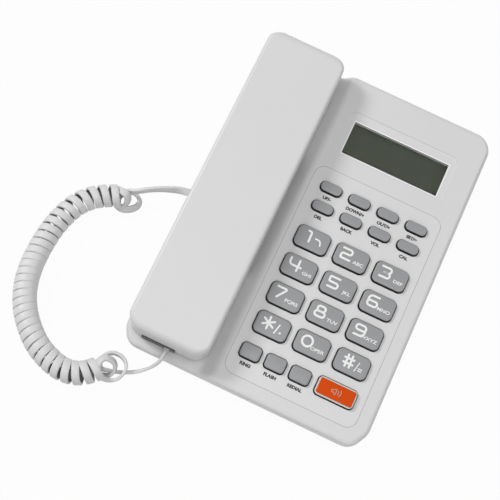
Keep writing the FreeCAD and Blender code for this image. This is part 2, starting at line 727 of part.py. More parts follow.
heads = new_sketch(base_lower, "screw_heads", offset=place_formula(0, 0, foot_height))
for x, y in bosses:
    circle(heads, x, y, head_radius + 0.2)
pocket(heads, head_recess, reverse=True)
holes = new_sketch(base_lower, "screw_holes", offset=place_formula(0, 0, foot_height))
for x, y in bosses:
    circle(holes, x, y, screw_radius + screw_gap)
pocket(holes, seam_height, reverse=True)
slot_count = 7
slot_plan = new_sketch(base_lower, "grille", offset=place_formula(0, 0, foot_height))
first_x = speaker_x - (slot_count - 1) / 2 * grille_pitch
centred_rectangle(slot_plan, first_x, speaker_y, grille_slot, speaker_radius * 1.1, grille_slot / 2 - 0.05)
slot = pocket(slot_plan, base_floor + 1, reverse=True)
pattern(slot, slot_plan, slot_count, grille_pitch)


# Fittings of the lower housing
door = new_body("battery_door")
door_plan = new_sketch(door, "plan", offset=place_formula(0, 0, foot_height))
door_width = seat_width - 2 * door_gap
door_length = seat_length - 2 * door_gap
centred_rectangle(door_plan, bay_x, bay_y, door_width, door_length, as_size(2) - door_gap)
pad(door_plan, door_thickness - 0.1)
lug_plan = new_sketch(door, "lugs", offset=place_formula(0, 0, foot_height + door_thickness / 2))
for side in (-1, 1):
    lug_x = bay_x + side * bay_width / 4
    lug_y = bay_y + bay_length / 2 - door_gap - 1
    block_outline(lug_plan, lug_x, lug_y, as_size(8), as_size(1.4))
pad(lug_plan, door_thickness / 2 + 4)
ridge_plan = new_sketch(door, "ridges", offset=place_formula(0, 0, foot_height))
ridge_y = bay_y + bay_length / 2 - 9
block_outline(ridge_plan, bay_x, ridge_y, as_size(16), as_size(0.8))
ridge = pocket(ridge_plan, as_size(0.4), reverse=True)
pattern(ridge, ridge_plan, 1, None, 4, as_size(1.8))

contacts = new_body("battery_contacts")
contact_plan = new_sketch(contacts, "plates", offset=place_formula(0, 0, foot_height + door_thickness + 3))
contact_count = 3
contact_pitch = bay_length / contact_count
for side in (-1, 1):
    plate_x = bay_x + side * (bay_width / 2 - 0.25)
    for cell in range(contact_count):
        plate_y = bay_y + (cell - 1) * contact_pitch
        block_outline(contact_plan, plate_x, plate_y, as_size(0.5), as_size(9))
pad(contact_plan, as_size(10))

foot_body = new_body("rubber_feet")
pad_plan = new_sketch(foot_body, "plan", offset=place_formula(0, 0, 0))
for x, y in feet:
    circle(pad_plan, x, y, foot_radius)
pad(pad_plan, foot_height + foot_recess)

screws = new_body("base_screws")
head_seat = foot_height + head_recess
screw_heads = new_sketch(screws, "heads", offset=place_formula(0, 0, head_seat - head_height))
screw_shafts = new_sketch(screws, "shafts", offset=place_formula(0, 0, head_seat))
for x, y in bosses:
    circle(screw_heads, x, y, head_radius)
    circle(screw_shafts, x, y, screw_radius)
pad(screw_heads, head_height)
pad(screw_shafts, screw_length)

ballast = new_body("ballast_plate")
ballast_plan = new_sketch(ballast, "plan", offset=place_formula(0, 0, floor_top))
centred_rectangle(ballast_plan, weight_x, weight_y, weight_width, weight_length, as_size(1.5))
pad(ballast_plan, weight_height)

main_board = new_body("main_board")
main_plan = new_sketch(main_board, "plan", offset=place_formula(0, 0, floor_top + main_rise))
centred_rectangle(main_plan, main_x, main_y, main_width, main_length, as_size(1))
pad(main_plan, board_thickness)
main_top = floor_top + main_rise + board_thickness
chip_plan = new_sketch(main_board, "chips", offset=place_formula(0, 0, main_top - 0.2))
block_outline(chip_plan, main_x - 12, main_y + 6, as_size(18), as_size(7.5))
block_outline(chip_plan, main_x + 14, main_y + 8, as_size(10), as_size(10))
block_outline(chip_plan, main_x + 6, main_y + 28, as_size(12), as_size(6))
circle(chip_plan, main_x - 24, main_y + 26, as_size(3.1))
circle(chip_plan, main_x - 16, main_y + 26, as_size(3.1))
pad(chip_plan, as_size(3.4))

# A shallow frame with its diaphragm's recess below, and the magnet on top
speaker = new_body("loudspeaker")
frame_height = speaker_height * 0.4
frame_plan = new_sketch(speaker, "frame", offset=place_formula(0, 0, floor_top))
circle(frame_plan, speaker_x, speaker_y, speaker_radius)
pad(frame_plan, frame_height)
recess_plan = new_sketch(speaker, "diaphragm", offset=place_formula(0, 0, floor_top))
circle(recess_plan, speaker_x, speaker_y, speaker_radius - 1.6)
pocket(recess_plan, as_size(1), reverse=True)
magnet_plan = new_sketch(speaker, "magnet", offset=place_formula(0, 0, floor_top + frame_height))
circle(magnet_plan, speaker_x, speaker_y, speaker_radius * 0.55)
pad(magnet_plan, speaker_height - frame_height)

microphone = new_body("base_microphone")
microphone_plan = new_sketch(microphone, "plan", offset=place_formula(0, 0, floor_top))
circle(microphone_plan, keypad_x, -half_depth + base_wall + 3.4, as_size(3))
pad(microphone_plan, as_size(2.6))


def jack(name, plane, across, height, wall_place, width, flip):
    """A modular jack: a block with a stepped socket for the plug and its latch."""
    body = new_body(name)
    face = new_sketch(body, "face", plane, place_formula(0, 0, wall_place))
    centred_rectangle(face, across, height, width + 3.5, jack_height, as_size(0.6))
    pad(face, jack_length, reverse=flip)
    mouth = new_sketch(body, "mouth", plane, place_formula(0, 0, wall_place))
    centred_rectangle(mouth, across, height + 0.1, width, socket_height, as_size(0.3))
    pocket(mouth, jack_length - 1.5, reverse=not flip)
    return body


jack("cord_jack", "YZ_Plane", socket_y, socket_z, -half_width + base_wall, socket_width, False)
jack("line_jack", "XZ_Plane", line_x, socket_z, -half_depth + base_wall, line_width, False)


# Keypad, in the frame of the top plane
panel = new_body("keypad_panel")
panel_plan = new_sketch(panel, "plan")
centred_rectangle(panel_plan, 0, panel_shift, panel_width, panel_length, panel_corner)
pad(panel_plan, panel_thickness, reverse=True)


class KeyGroup:
    """Keys of one cap size on a grid: the grid's middle, its counts and pitches."""

    def __init__(self, names, x, v, cap_size, columns=1, pitch_x=as_size(0), rows=1, pitch_v=as_size(0)):
        self.names = names
        self.width, self.length, self.corner = cap_size
        self.columns = columns
        self.rows = rows
        self.pitch_x = pitch_x
        self.pitch_v = pitch_v
        self.first_x = x - keypad_x - (columns - 1) / 2 * pitch_x
        self.first_v = v - (rows - 1) / 2 * pitch_v

    def cells(self):
        """Names and middles of the keys, row by row from the back."""
        for row in range(self.rows):
            for column in range(self.columns):
                name = self.names[row * self.columns + column]
                row_from_front = self.rows - 1 - row
                middle_x = self.first_x + column * self.pitch_x
                yield name, middle_x, self.first_v + row_from_front * self.pitch_v


digit_marks = ("1", "2", "3", "4", "5", "6", "7", "8", "9", "star", "0", "hash")
pill_marks = ("up", "down", "out", "set", "delete", "back", "volume", "calculate")
digit_names = [f"key_{mark}" for mark in digit_marks]
pill_names = [f"key_{mark}" for mark in pill_marks]
square_names = ["key_ring", "key_flash", "key_redial"]
digit_cap = (digit_width, digit_length, digit_corner)
pill_cap = (pill_width, pill_length, pill_corner)
square_cap = (square_width, square_length, square_corner)
speech_cap_size = (speech_width, speech_length, speech_corner)
groups = (
    KeyGroup(digit_names, keypad_x, as_size(0), digit_cap, 3, digit_pitch_x, 4, digit_pitch_v),
    KeyGroup(pill_names, keypad_x, pill_shift, pill_cap, 4, pill_pitch_x, 2, pill_pitch_v),
    KeyGroup(square_names, square_x, square_shift, square_cap, 3, square_pitch),
    KeyGroup(["handsfree_key"], speech_x, square_shift, speech_cap_size),
)


def keypad_frame(w):
    return tilted(keypad_x, keypad_v, w)


def for_each_group(body, name, height, grow, length, cut):
    """Cuts an opening round each key, wider by grow, or pads a block under it, smaller by -grow."""
    for number, group in enumerate(groups):
        plan = new_sketch(body, f"{name}_{number}", offset=place_formula(0, 0, height))
        wide = group.width + 2 * grow
        long = group.length + 2 * grow
        if cut:
            centred_rectangle(plan, group.first_x, group.first_v, wide, long, group.corner + grow)
            feature = pocket(plan, length)
        else:
            block_outline(plan, group.first_x, group.first_v, wide, long)
            feature = pad(plan, length)
        if group.columns > 1:
            pattern(feature, plan, group.columns, group.pitch_x, group.rows, group.pitch_v)


for_each_group(panel, "openings", as_size(1), key_gap, panel_thickness + 2, True)
panel.setExpression("Placement", keypad_frame(as_size(0)))

key_top = key_rise + panel_thickness + key_seat
for group in groups:
    for name, x, v in group.cells():
        key = new_body(name)
        flange_plan = new_sketch(key, "flange")
        block_outline(flange_plan, 0, 0, group.width + 2 * key_flange, group.length + 2 * key_flange)
        pad(flange_plan, key_flange)
        cap_plan = new_sketch(key, "cap", offset=place_formula(0, 0, key_flange))
        centred_rectangle(cap_plan, 0, 0, group.width, group.length, group.corner)
        cap = pad(cap_plan, key_top)
        top_z = key_flange.value + key_top.value
        bevel_edges(key, cap, lambda edge: edge.BoundBox.ZMin > top_z - 0.01, key_round, "top")
        flange_w = -panel_thickness - key_seat - key_flange
        key.setExpression("Placement", tilted(keypad_x + x, keypad_v + v, flange_w))
        if name == "handsfree_key":
            cap_x, cap_v = keypad_x + x, keypad_v + v

# The hands-free key carries a coloured cap inside a border
speech_cap = new_body("handsfree_cap")
speech_plan = new_sketch(speech_cap, "plan")
cap_width = speech_width - 2 * speech_border
cap_length = speech_length - 2 * speech_border
centred_rectangle(speech_plan, 0, 0, cap_width, cap_length, speech_corner - speech_border)
cap_pad = pad(speech_plan, cap_height)
cap_rim = cap_height.value - 0.01
bevel_edges(speech_cap, cap_pad, lambda edge: edge.BoundBox.ZMin > cap_rim, cap_height / 2, "top")
speech_cap.setExpression("Placement", tilted(cap_x, cap_v, key_rise))

keymat = new_body("keymat")
mat_plan = new_sketch(keymat, "plan")
mat_width = keypad_opening_width - 0.6
mat_length = keypad_opening_length - 0.6
centred_rectangle(mat_plan, 0, panel_shift, mat_width, mat_length, panel_corner)
pad(mat_plan, mat_thickness)
dome_height = -panel_thickness - 2 * key_seat - key_flange - mat_w - mat_thickness
for_each_group(keymat, "blocks", mat_thickness / 2, as_size(-1.2), dome_height + mat_thickness / 2, False)
keymat.setExpression("Placement", keypad_frame(mat_w))

keypad_board = new_body("keypad_board")
keypad_board_plan = new_sketch(keypad_board, "plan")
centred_rectangle(
    keypad_board_plan,
    0,
    panel_shift,
    keypad_opening_width + 2 * panel_ledge + 0.4,
    keypad_opening_length - 1.5,
    as_size(1.5),
)
pad(keypad_board_plan, board_thickness)
keypad_board.setExpression("Placement", keypad_frame(keypad_board_w))


# Display: a clear lens in the window, the module behind it and the bracket that holds the module
lens_seat = 0.2
lens = new_body("display_lens")
lens_plan = new_sketch(lens, "plan")
centred_rectangle(lens_plan, 0, 0, display_width - 0.4, display_length - 0.4, as_size(0.5))
pad(lens_plan, lens_thickness)
lens.setExpression("Placement", bezel_frame(lens_seat - base_roof))

module_width = display_width + 5
module_length = display_length + 5.4
module = new_body("display_module")
module_plan = new_sketch(module, "plan")
centred_rectangle(module_plan, 0, 0, module_width, module_length, as_size(0.6))
pad(module_plan, module_thickness)
module.setExpression("Placement", bezel_frame(-base_roof - module_thickness))

bracket = new_body("display_bracket")
bracket_plan = new_sketch(bracket, "plan")
centred_rectangle(bracket_plan, 0, 0, module_width + 3.4, module_length + 3.4, as_size(1.5))
pad(bracket_plan, module_thickness + 1.2)
cradle_plan = new_sketch(bracket, "recess", offset=place_formula(0, 0, module_thickness + 1.2))
centred_rectangle(cradle_plan, 0, 0, module_width + 0.4, module_length + 0.4, as_size(0.6))
pocket(cradle_plan, module_thickness - 0.1)
bracket.setExpression("Placement", bezel_frame(-base_roof - module_thickness - 1.3))


# Hook switch: plunger, spring, cage and switch on one axis square to the deck
cage_top = well_w - base_roof
flange_rise = hook_travel + key_seat
flange_thickness = 1.5
guide_length = 4
spring_room = 9
cage_depth = flange_rise + flange_thickness + spring_room + 1.6
cage_radius = plunger_radius + 3.6
plunger_top = well_w + key_seat
plunger = new_body("hook_plunger")
plunger_section = new_sketch(plunger, "section", "XZ_Plane")
flange_top = cage_top - flange_rise
outline(
    plunger_section,
    (as_size(0), plunger_top - flange_top),
    (as_size(0), -flange_thickness - as_size(guide_length)),
    (as_size(1.8), -flange_thickness - as_size(guide_length)),
    (as_size(1.8), as_size(-flange_thickness)),
    (plunger_radius + 1.2, as_size(-flange_thickness)),
    (plunger_radius + 1.2, as_size(0)),
    (plunger_radius, as_size(0)),
    (plunger_radius, plunger_top - flange_top - 1),
    (plunger_radius - 1, plunger_top - flange_top),
)
turned = plunger.newObject("PartDesign::Revolution", "hook_plunger_turned")
turned.Profile = plunger_section
turned.ReferenceAxis = (plunger_section, ["V_Axis"])
turned.Angle = 360
plunger.setExpression("Placement", tilted(handset_centre_x, hook_v, flange_top))

cage = new_body("hook_cage")
cage_plan = new_sketch(cage, "plan")
circle(cage_plan, 0, 0, cage_radius)
pad(cage_plan, cage_depth)
cage_bore = new_sketch(cage, "bore", offset=place_formula(0, 0, cage_depth))
circle(cage_bore, 0, 0, plunger_radius + 1.6)
pocket(cage_bore, cage_depth - 1.5)
cage.setExpression("Placement", tilted(handset_centre_x, hook_v, cage_top - cage_depth))

switch = new_body("hook_switch")
switch_plan = new_sketch(switch, "plan")
centred_rectangle(switch_plan, 0, 0, as_size(10), as_size(6.4), as_size(0.5))
pad(switch_plan, as_size(5.4))
switch.setExpression("Placement", tilted(handset_centre_x, hook_v, cage_top - cage_depth - 5.4))


# Handset, in its own frame on the deck: two shells that meet at the parting plane
def in_handset(x, v, w):
    return tilted(handset_centre_x + x, handset_centre_v + v, w)


handset_bottom = deck_w + handset_lift
cup_bottom = deck_w - cup_depth
arch_top = deck_w + grip_height
arch_half = arch_length / 2
screw_v = arch_half + 3.2
crown_radius = handset_length * handset_length / (8 * handset_sag) + handset_sag / 2


def crown_block(name, inset, dress):
    """The handset's upper half, drawn in by inset, its top rim rounded or bevelled by dress."""
    body = new_body(name, node=False)
    plan = new_sketch(body, "plan", offset=place_formula(0, 0, handset_part))
    width = handset_width - 2 * inset
    centred_rectangle(plan, 0, 0, width, handset_length - 2 * inset, handset_corner - inset)
    pad(plan, handset_crown)
    section = new_sketch(body, "crown", "YZ_Plane")
    bend = crown_radius - inset
    far = handset_length / 2 + 5
    end_w = handset_crown - crown_radius + root(bend * bend - far * far)
    sky = 2 * handset_crown
    outline(section, (-far, sky), (-far, end_w), (far, end_w, -bend), (far, sky))
    crown = pocket(section, handset_width * 2, both=True)
    lowest = handset_crown.value - handset_sag.value - as_size(inset).value - 1
    dress(body, crown, lambda edge: edge.BoundBox.ZMin > lowest, handset_round - inset, "rim")
    return body


outer_skin = crown_block("handset_outer_skin", 0, round_edges)
outer_hollow = crown_block("handset_outer_hollow", handset_wall, bevel_edges)
boss_plan = new_sketch(outer_hollow, "bosses", offset=place_formula(0, 0, handset_part - 1))
pilot_plan = new_sketch(outer_hollow, "pilots", offset=place_formula(0, 0, handset_part))
for end in (-1, 1):
    circle(boss_plan, 0, end * screw_v, boss_radius)
    circle(pilot_plan, 0, end * screw_v, screw_radius + screw_gap)
pocket(boss_plan, handset_crown + 5, reverse=True)
pad(pilot_plan, as_size(6))
outer_shell = combine("Cut", "handset_outer_shell", outer_skin, outer_hollow)
outer_shell.setExpression("Placement", in_handset(0, 0, 0))

inner_shell = new_body("handset_inner_shell")
inner_plan = new_sketch(inner_shell, "plan", offset=place_formula(0, 0, handset_bottom))
centred_rectangle(inner_plan, 0, 0, handset_width, handset_length, handset_corner)
pad(inner_plan, handset_part - handset_bottom)
arch_section = new_sketch(inner_shell, "arch", "YZ_Plane")
outline(
    arch_section,
    (-arch_half, handset_bottom - 5),
    (-arch_half, handset_bottom),
    (-arch_half + arch_slope, arch_top),
    (arch_half - arch_slope, arch_top),
    (arch_half, handset_bottom),
    (arch_half, handset_bottom - 5),
)
arch = pocket(arch_section, handset_width * 2, both=True)


def on_arch_top(edge):
    box = edge.BoundBox
    at_top = abs(box.ZMin - arch_top.value) < 0.01 and box.ZLength < 0.01
    return at_top and box.XLength > handset_width.value - 1 and box.YLength < 0.01


round_edges(inner_shell, arch, on_arch_top, as_size(9), "arch_bends")
cup_plan = new_sketch(inner_shell, "cups", offset=place_formula(0, 0, cup_bottom))
for end in (-1, 1):
    centred_rectangle(cup_plan, 0, end * cup_v, cup_width, cup_length, cup_corner)
cups = pad(cup_plan, handset_bottom - cup_bottom + 1)
lowest_cup = cup_bottom.value + 0.01
bevel_edges(inner_shell, cups, lambda edge: edge.BoundBox.ZMax < lowest_cup, as_size(1.8), "cup_rims")
channel = new_sketch(inner_shell, "channel", offset=place_formula(0, 0, handset_part))
inner_width = handset_width - 2 * handset_wall
centred_rectangle(channel, 0, 0, inner_width, 2 * (arch_half - 1), as_size(3))
pocket(channel, handset_part - arch_top - handset_wall)
ends_plan = new_sketch(inner_shell, "ends", offset=place_formula(0, 0, handset_part))
end_start = screw_v + boss_radius + 0.2
end_stop = handset_length / 2 - handset_wall
end_middle = (end_start + end_stop) / 2
for end in (-1, 1):
    end_room = end_stop - end_start
    centred_rectangle(ends_plan, 0, end * end_middle, inner_width, end_room, handset_corner - handset_wall)
pocket(ends_plan, handset_part - handset_bottom - handset_wall)
room_top = handset_bottom + handset_wall + 1
cup_room = new_sketch(inner_shell, "cup_room", offset=place_formula(0, 0, room_top))
room_width = cup_width - 2 * handset_wall
room_length = cup_length - 2 * handset_wall
for end in (-1, 1):
    centred_rectangle(cup_room, 0, end * cup_v, room_width, room_length, cup_corner - handset_wall)
pocket(cup_room, room_top - cup_bottom - handset_wall)
notch_start = place_formula(0, 0, handset_length / 2 - handset_wall - 0.5)
notch = new_sketch(inner_shell, "notch", "XZ_Plane", notch_start)
notch_left = notch_x - notch_width / 2
jack_low = handset_bottom - jack_drop
notch_top = jack_low + jack_height
rounded_rectangle(notch, notch_left, notch_left + notch_width, handset_bottom - 4, notch_top, as_size(1))
pocket(notch, handset_wall + 4, reverse=True)
jack_v = -handset_length / 2 + handset_wall + 0.1
jack_half = socket_width / 2 + 1.75
jack_seat = new_sketch(inner_shell, "jack_seat", offset=place_formula(0, 0, jack_low))
rounded_rectangle(
    jack_seat,
    handset_jack_x - jack_half - 0.1,
    handset_jack_x + jack_half + 0.1,
    jack_v - 1,
    jack_v + jack_length + 0.1,
    as_size(0.3),
)
pocket(jack_seat, jack_height, reverse=True)
inner_holes = new_sketch(inner_shell, "screw_holes", offset=place_formula(0, 0, handset_bottom))
inner_heads = new_sketch(inner_shell, "screw_heads", offset=place_formula(0, 0, handset_bottom))
for end in (-1, 1):
    circle(inner_holes, 0, end * screw_v, screw_radius + screw_gap)
    circle(inner_heads, 0, end * screw_v, head_radius + 0.2)
pocket(inner_holes, handset_part - handset_bottom, reverse=True)
pocket(inner_heads, head_recess, reverse=True)
sound_hole = as_size(0.9)
ear_ring = 5.5
ear_plan = new_sketch(inner_shell, "ear_hole", offset=place_formula(0, cup_v, cup_bottom))
circle(ear_plan, 0, 0, sound_hole)
pocket(ear_plan, handset_wall + 1, reverse=True)
ring_plan = new_sketch(inner_shell, "ear_ring", offset=place_formula(0, cup_v, cup_bottom))
circle(ring_plan, as_size(ear_ring), 0, sound_hole)
ring_hole = pocket(ring_plan, handset_wall + 1, reverse=True)
ring = inner_shell.newObject("PartDesign::PolarPattern", "ear_ring_pattern")
ring.Originals = [ring_hole]
ring.Axis = (ring_plan, ["N_Axis"])
ring.Angle = 360
ring.Occurrences = 6
inner_shell.Tip = ring
mouth_plan = new_sketch(inner_shell, "mouth_slot", offset=place_formula(0, -cup_v, cup_bottom))
centred_rectangle(mouth_plan, as_size(-4), 0, as_size(1.6), as_size(7), as_size(0.75))
mouth_slot = pocket(mouth_plan, handset_wall + 1, reverse=True)
pattern(mouth_slot, mouth_plan, 3, as_size(4))
inner_shell.setExpression("Placement", in_handset(0, 0, 0))

receiver = new_body("receiver_capsule")
receiver_plan = new_sketch(receiver, "plan")
circle(receiver_plan, 0, 0, receiver_radius)
pad(receiver_plan, receiver_height * 0.6)
receiver_back = new_sketch(receiver, "magnet", offset=place_formula(0, 0, receiver_height * 0.6))
circle(receiver_back, 0, 0, receiver_radius * 0.55)
pad(receiver_back, receiver_height * 0.4)
receiver.setExpression("Placement", in_handset(0, cup_v, cup_bottom + handset_wall))

mouthpiece = new_body("handset_microphone")
mouthpiece_plan = new_sketch(mouthpiece, "plan")
circle(mouthpiece_plan, 0, 0, as_size(6.5))
pad(mouthpiece_plan, as_size(4.5))
mouthpiece.setExpression("Placement", in_handset(0, -cup_v, cup_bottom + handset_wall))

bar = new_body("handset_weight")
bar_plan = new_sketch(bar, "plan")
centred_rectangle(bar_plan, 0, 0, bar_width, bar_length, as_size(1.5))
pad(bar_plan, bar_height)
bar.setExpression("Placement", in_handset(0, 0, arch_top + handset_wall))

handset_jack = new_body("handset_jack")
handset_jack_w = jack_low + jack_height / 2
jack_face = new_sketch(handset_jack, "face", "XZ_Plane")
centred_rectangle(jack_face, 0, 0, 2 * jack_half, jack_height, as_size(0.6))
pad(jack_face, jack_length, reverse=True)
jack_mouth = new_sketch(handset_jack, "mouth", "XZ_Plane")
centred_rectangle(jack_mouth, 0, as_size(0.1), socket_width, socket_height, as_size(0.3))
pocket(jack_mouth, jack_length - 1.5)
handset_jack.setExpression("Placement", in_handset(handset_jack_x, jack_v, handset_jack_w))

handset_screws = new_body("handset_screws")
head_low = handset_bottom + head_recess - head_height
small_heads = new_sketch(handset_screws, "heads", offset=place_formula(0, 0, head_low))
small_shafts = new_sketch(handset_screws, "shafts", offset=place_formula(0, 0, head_low + head_height))
for end in (-1, 1):
    circle(small_heads, 0, end * screw_v, head_radius)
    circle(small_shafts, 0, end * screw_v, screw_radius)
pad(small_heads, head_height)
pad(small_shafts, handset_part - handset_bottom - head_recess + 5)
handset_screws.setExpression("Placement", in_handset(0, 0, 0))


# Wire forms: paths of lines and arcs, and the tubes swept along them
def arc_from(start, way, end):
    """The arc that leaves start along way and ends at end, and its radius."""
    chord = end - start
    turn = 2 * way.getAngle(chord)
    radius = chord.Length / 2 / math.sin(turn / 2)
    halfway = (way + Vector(chord).normalize()).normalize()
    return Part.Arc(start, start + halfway * (2 * radius * math.sin(turn / 4)), end), radius


def biarc(start, way_in, end, way_out):
    """Two arcs that meet with one tangent, between two points and their directions."""
    gap = end - start
    both_ways = way_in + way_out
    bend = 2 * (1 - way_in.dot(way_out))
    along_gap = gap.dot(both_ways)
    reach = (math.sqrt(along_gap * along_gap + bend * gap.dot(gap)) - along_gap) / bend
    meeting = (start + end + (way_in - way_out) * reach) / 2
    first, first_radius = arc_from(start, way_in, meeting)
    last, last_radius = arc_from(end, way_out * -1, meeting)
    middle = last.value((last.FirstParameter + last.LastParameter) / 2)
    return [first, Part.Arc(meeting, middle, end)], [first_radius, last_radius]


def bent_path(points):
    """Straight runs through the points, joined by arcs as wide as the runs allow, and the arcs' radii."""
    edges = []
    radii = []
    start = points[0]
    for before, corner, after in zip(points, points[1:], points[2:]):
        way_in = (corner - before).normalize()
        way_out = (after - corner).normalize()
        reach = 0.45 * min((corner - before).Length, (after - corner).Length)
        radius = reach / math.tan(way_in.getAngle(way_out) / 2)
        arc_start = corner - way_in * reach
        arc, radius = arc_from(arc_start, way_in, corner + way_out * reach)
        edges += [Part.LineSegment(start, arc_start), arc]
        radii.append(radius)
        start = corner + way_out * reach
    edges.append(Part.LineSegment(start, points[-1]))
    return edges, radii


def tube(name, edges, width, sides):
    """A node: the path's tube, with so many flat sides. Its volume is held against section times length."""
    wire = Part.Wire([edge.toShape() for edge in edges])
    start = edges[0].StartPoint
    way = edges[0].tangent(edges[0].FirstParameter)[0]
    across = way.cross(Vector(0, 0, 1)).normalize()
    upward = across.cross(way)
    corner_radius = width / 2 / math.cos(math.pi / sides / 2)
    corners = []
    for index in range(sides + 1):
        angle = 2 * math.pi * (index + 0.5) / sides
        corners.append(start + (across * math.cos(angle) + upward * math.sin(angle)) * corner_radius)
    section = Part.makePolygon(corners)
    solid = wire.makePipeShell([section], True, False)
    feature = doc.addObject("Part::Feature", name)
    feature.Label = name
    feature.Shape = solid
    nodes.append(feature)
    expected = Part.Face(section).Area * wire.Length
    print(f"{name}: length {wire.Length:.1f}, volume {solid.Volume:.1f}, section by length {expected:.1f}")
    return feature


def least_gap(edges, width):
    """The least clear distance of a tube to itself, measured on points along its path."""
    wire = Part.Wire([edge.toShape() for edge in edges])
    step = 0.8
    points = wire.discretize(Number=int(wire.Length / step))
    cells = {}
    apart = int(2.2 * width / step)
    closest = 1e9
    for index, point in enumerate(points):
        cell = tuple(int(number // 6) for number in point)
        for shift in itertools.product((-1, 0, 1), repeat=3):
            near = tuple(number + moved for number, moved in zip(cell, shift))
            for other in cells.get(near, ()):
                if index - other > apart:
                    closest = min(closest, (points[other] - point).Length)
        cells.setdefault(cell, []).append(index)
    return closest - width


# Hook spring: a coil between the plunger's flange and the floor of the cage
spring_wire = 0.7
spring_radius = 3.4
spring_turns = 4
spring_low = spring_wire / 2 + 0.02
spring_high = spring_room + 0.1 - spring_wire / 2 - 0.02
turn_step = math.pi / 2


def on_spring(angle):
    rise = spring_low + (spring_high - spring_low) * angle / (2 * math.pi * spring_turns)
    return Vector(spring_radius * math.cos(angle), spring_radius * math.sin(angle), rise)


def way_at(place, at, step=1e-4):
    return (place(at + step) - place(at - step)).normalize()


spring_edges = []
for number in range(4 * spring_turns):
    ends = []
    for angle in (number * turn_step, (number + 1) * turn_step):
        ends += [on_spring(angle), way_at(on_spring, angle)]
    spring_edges += biarc(*ends)[0]
spring = tube("hook_spring", spring_edges, spring_wire, 4)
spring_w = cage_top - cage_depth + 1.5
spring.setExpression("Placement", tilted(handset_centre_x, hook_v, spring_w))
print(f"hook_spring: least gap to itself {least_gap(spring_edges, spring_wire):.2f}")


# Plugs: a block with its latch on top, and a narrower tail that holds the cord
def plug(name, placement):
    body = new_body(name)
    block = new_sketch(body, "block", "XZ_Plane")
    half_block = socket_width / 2 - plug_gap
    block_low = -socket_height / 2 + plug_gap
    block_high = socket_height / 2 - plug_gap
    outline(
        block,
        (-half_block, block_low),
        (half_block, block_low),
        (half_block, block_high - 1.1),
        (as_size(1.6), block_high - 1.1),
        (as_size(1.6), block_high),
        (as_size(-1.6), block_high),
        (as_size(-1.6), block_high - 1.1),
        (-half_block, block_high - 1.1),
    )
    pad(block, plug_length, reverse=True)
    tail = new_sketch(body, "tail", "XZ_Plane")
    centred_rectangle(tail, 0, 0, cord_size + 2.6, cord_size + 1, as_size(0.8))
    pad(tail, plug_tail)
    body.setExpression("Placement", placement)
    return body


base_plug_x = -half_width + base_wall
plug("cord_base_plug", place_formula(base_plug_x, socket_y, socket_z + 0.1, -90, "vector(0; 0; 1)"))
plug("cord_handset_plug", in_handset(handset_jack_x, jack_v, handset_jack_w + 0.1))

# The cord's leads: from the base's socket to the coil, and from the handset's socket to the coil
cord_width = cord_size.value
base_lead_points = [
    Vector(-77.5, -2.5, 14.1),
    Vector(-84.0, -2.5, 14.1),
    Vector(-92.6, -6.4, 14.2),
    Vector(-99.8, -10.0, 14.6),
    Vector(-105.8, -14.0, 15.2),
]
handset_lead_points = [
    Vector(-47.8, -98.129, 16.069),
    Vector(-47.8, -102.277, 15.412),
    Vector(-48.6, -105.9, 13.3),
    Vector(-50.4, -109.0, 9.8),
    Vector(-53.6, -111.9, 5.9),
    Vector(-58.0, -114.6, 3.1),
    Vector(-62.7, -116.78, 1.95),
    Vector(-67.5, -118.2, 1.95),
]
# The coil's axis lies on the table, round a wide bend beside the base
axis_points = [
    (-113.0, -20.1),
    (-124.3, -25.0),
    (-135.1, -35.6),
    (-140.6, -52.9),
    (-141.6, -70.1),
    (-140.4, -87.5),
    (-135.2, -103.2),
    (-125.6, -116.0),
    (-113.1, -126.2),
    (-98.5, -131.2),
    (-86.4, -130.0),
    (-77.0, -124.4),
]
coil_sides = 6
curl_radius = coil_radius.value - cord_width / 2
axis_height = coil_radius.value + 0.15
axis = Part.BSplineCurve()
axis.interpolate([Vector(x, y, axis_height) for x, y in axis_points])
axis_length = axis.length()
turns = int(coil_turns.value)
first_angle = math.radians(45)
last_angle = 2 * math.pi * turns
up = Vector(0, 0, 1)


def on_coil(angle):
    """A point of the curls: the angle runs from the top over the outer side."""
    share = min(max((angle - first_angle) / (last_angle - first_angle), 0), 1)
    at = axis.parameterAtDistance(share * axis_length, axis.FirstParameter)
    side = axis.tangent(at)[0].cross(up).normalize()
    return axis.value(at) + up * (curl_radius * math.cos(angle)) + side * (curl_radius * math.sin(angle))


def heading(way):
    return math.atan2(way.y, way.x)


# The coil's lower end opens into a wide flat curl that winds down to the lead
loop_top_radius = 7.7
loop_low_radius = 4.5
coil_end = on_coil(last_angle)
coil_end_way = axis.tangent(axis.LastParameter)[0].cross(up).normalize()
lead_way = (handset_lead_points[-2] - handset_lead_points[-1]).normalize()
loop_end = handset_lead_points[-1] - lead_way * cord_width
loop_from = heading(coil_end_way)
loop_to = heading(lead_way) + 2 * math.pi
loop_top_middle = coil_end - Vector(math.sin(loop_from), -math.cos(loop_from), 0) * loop_top_radius
loop_low_middle = loop_end - Vector(math.sin(loop_to), -math.cos(loop_to), 0) * loop_low_radius


def on_loop(turned):
    share = (turned - loop_from) / (loop_to - loop_from)
    eased = min(max(share, 0), 1)
    eased = eased * eased * (3 - 2 * eased)
    middle = loop_top_middle + (loop_low_middle - loop_top_middle) * eased
    radius = loop_top_radius + (loop_low_radius - loop_top_radius) * eased
    return middle + Vector(math.sin(turned), -math.cos(turned), 0) * radius


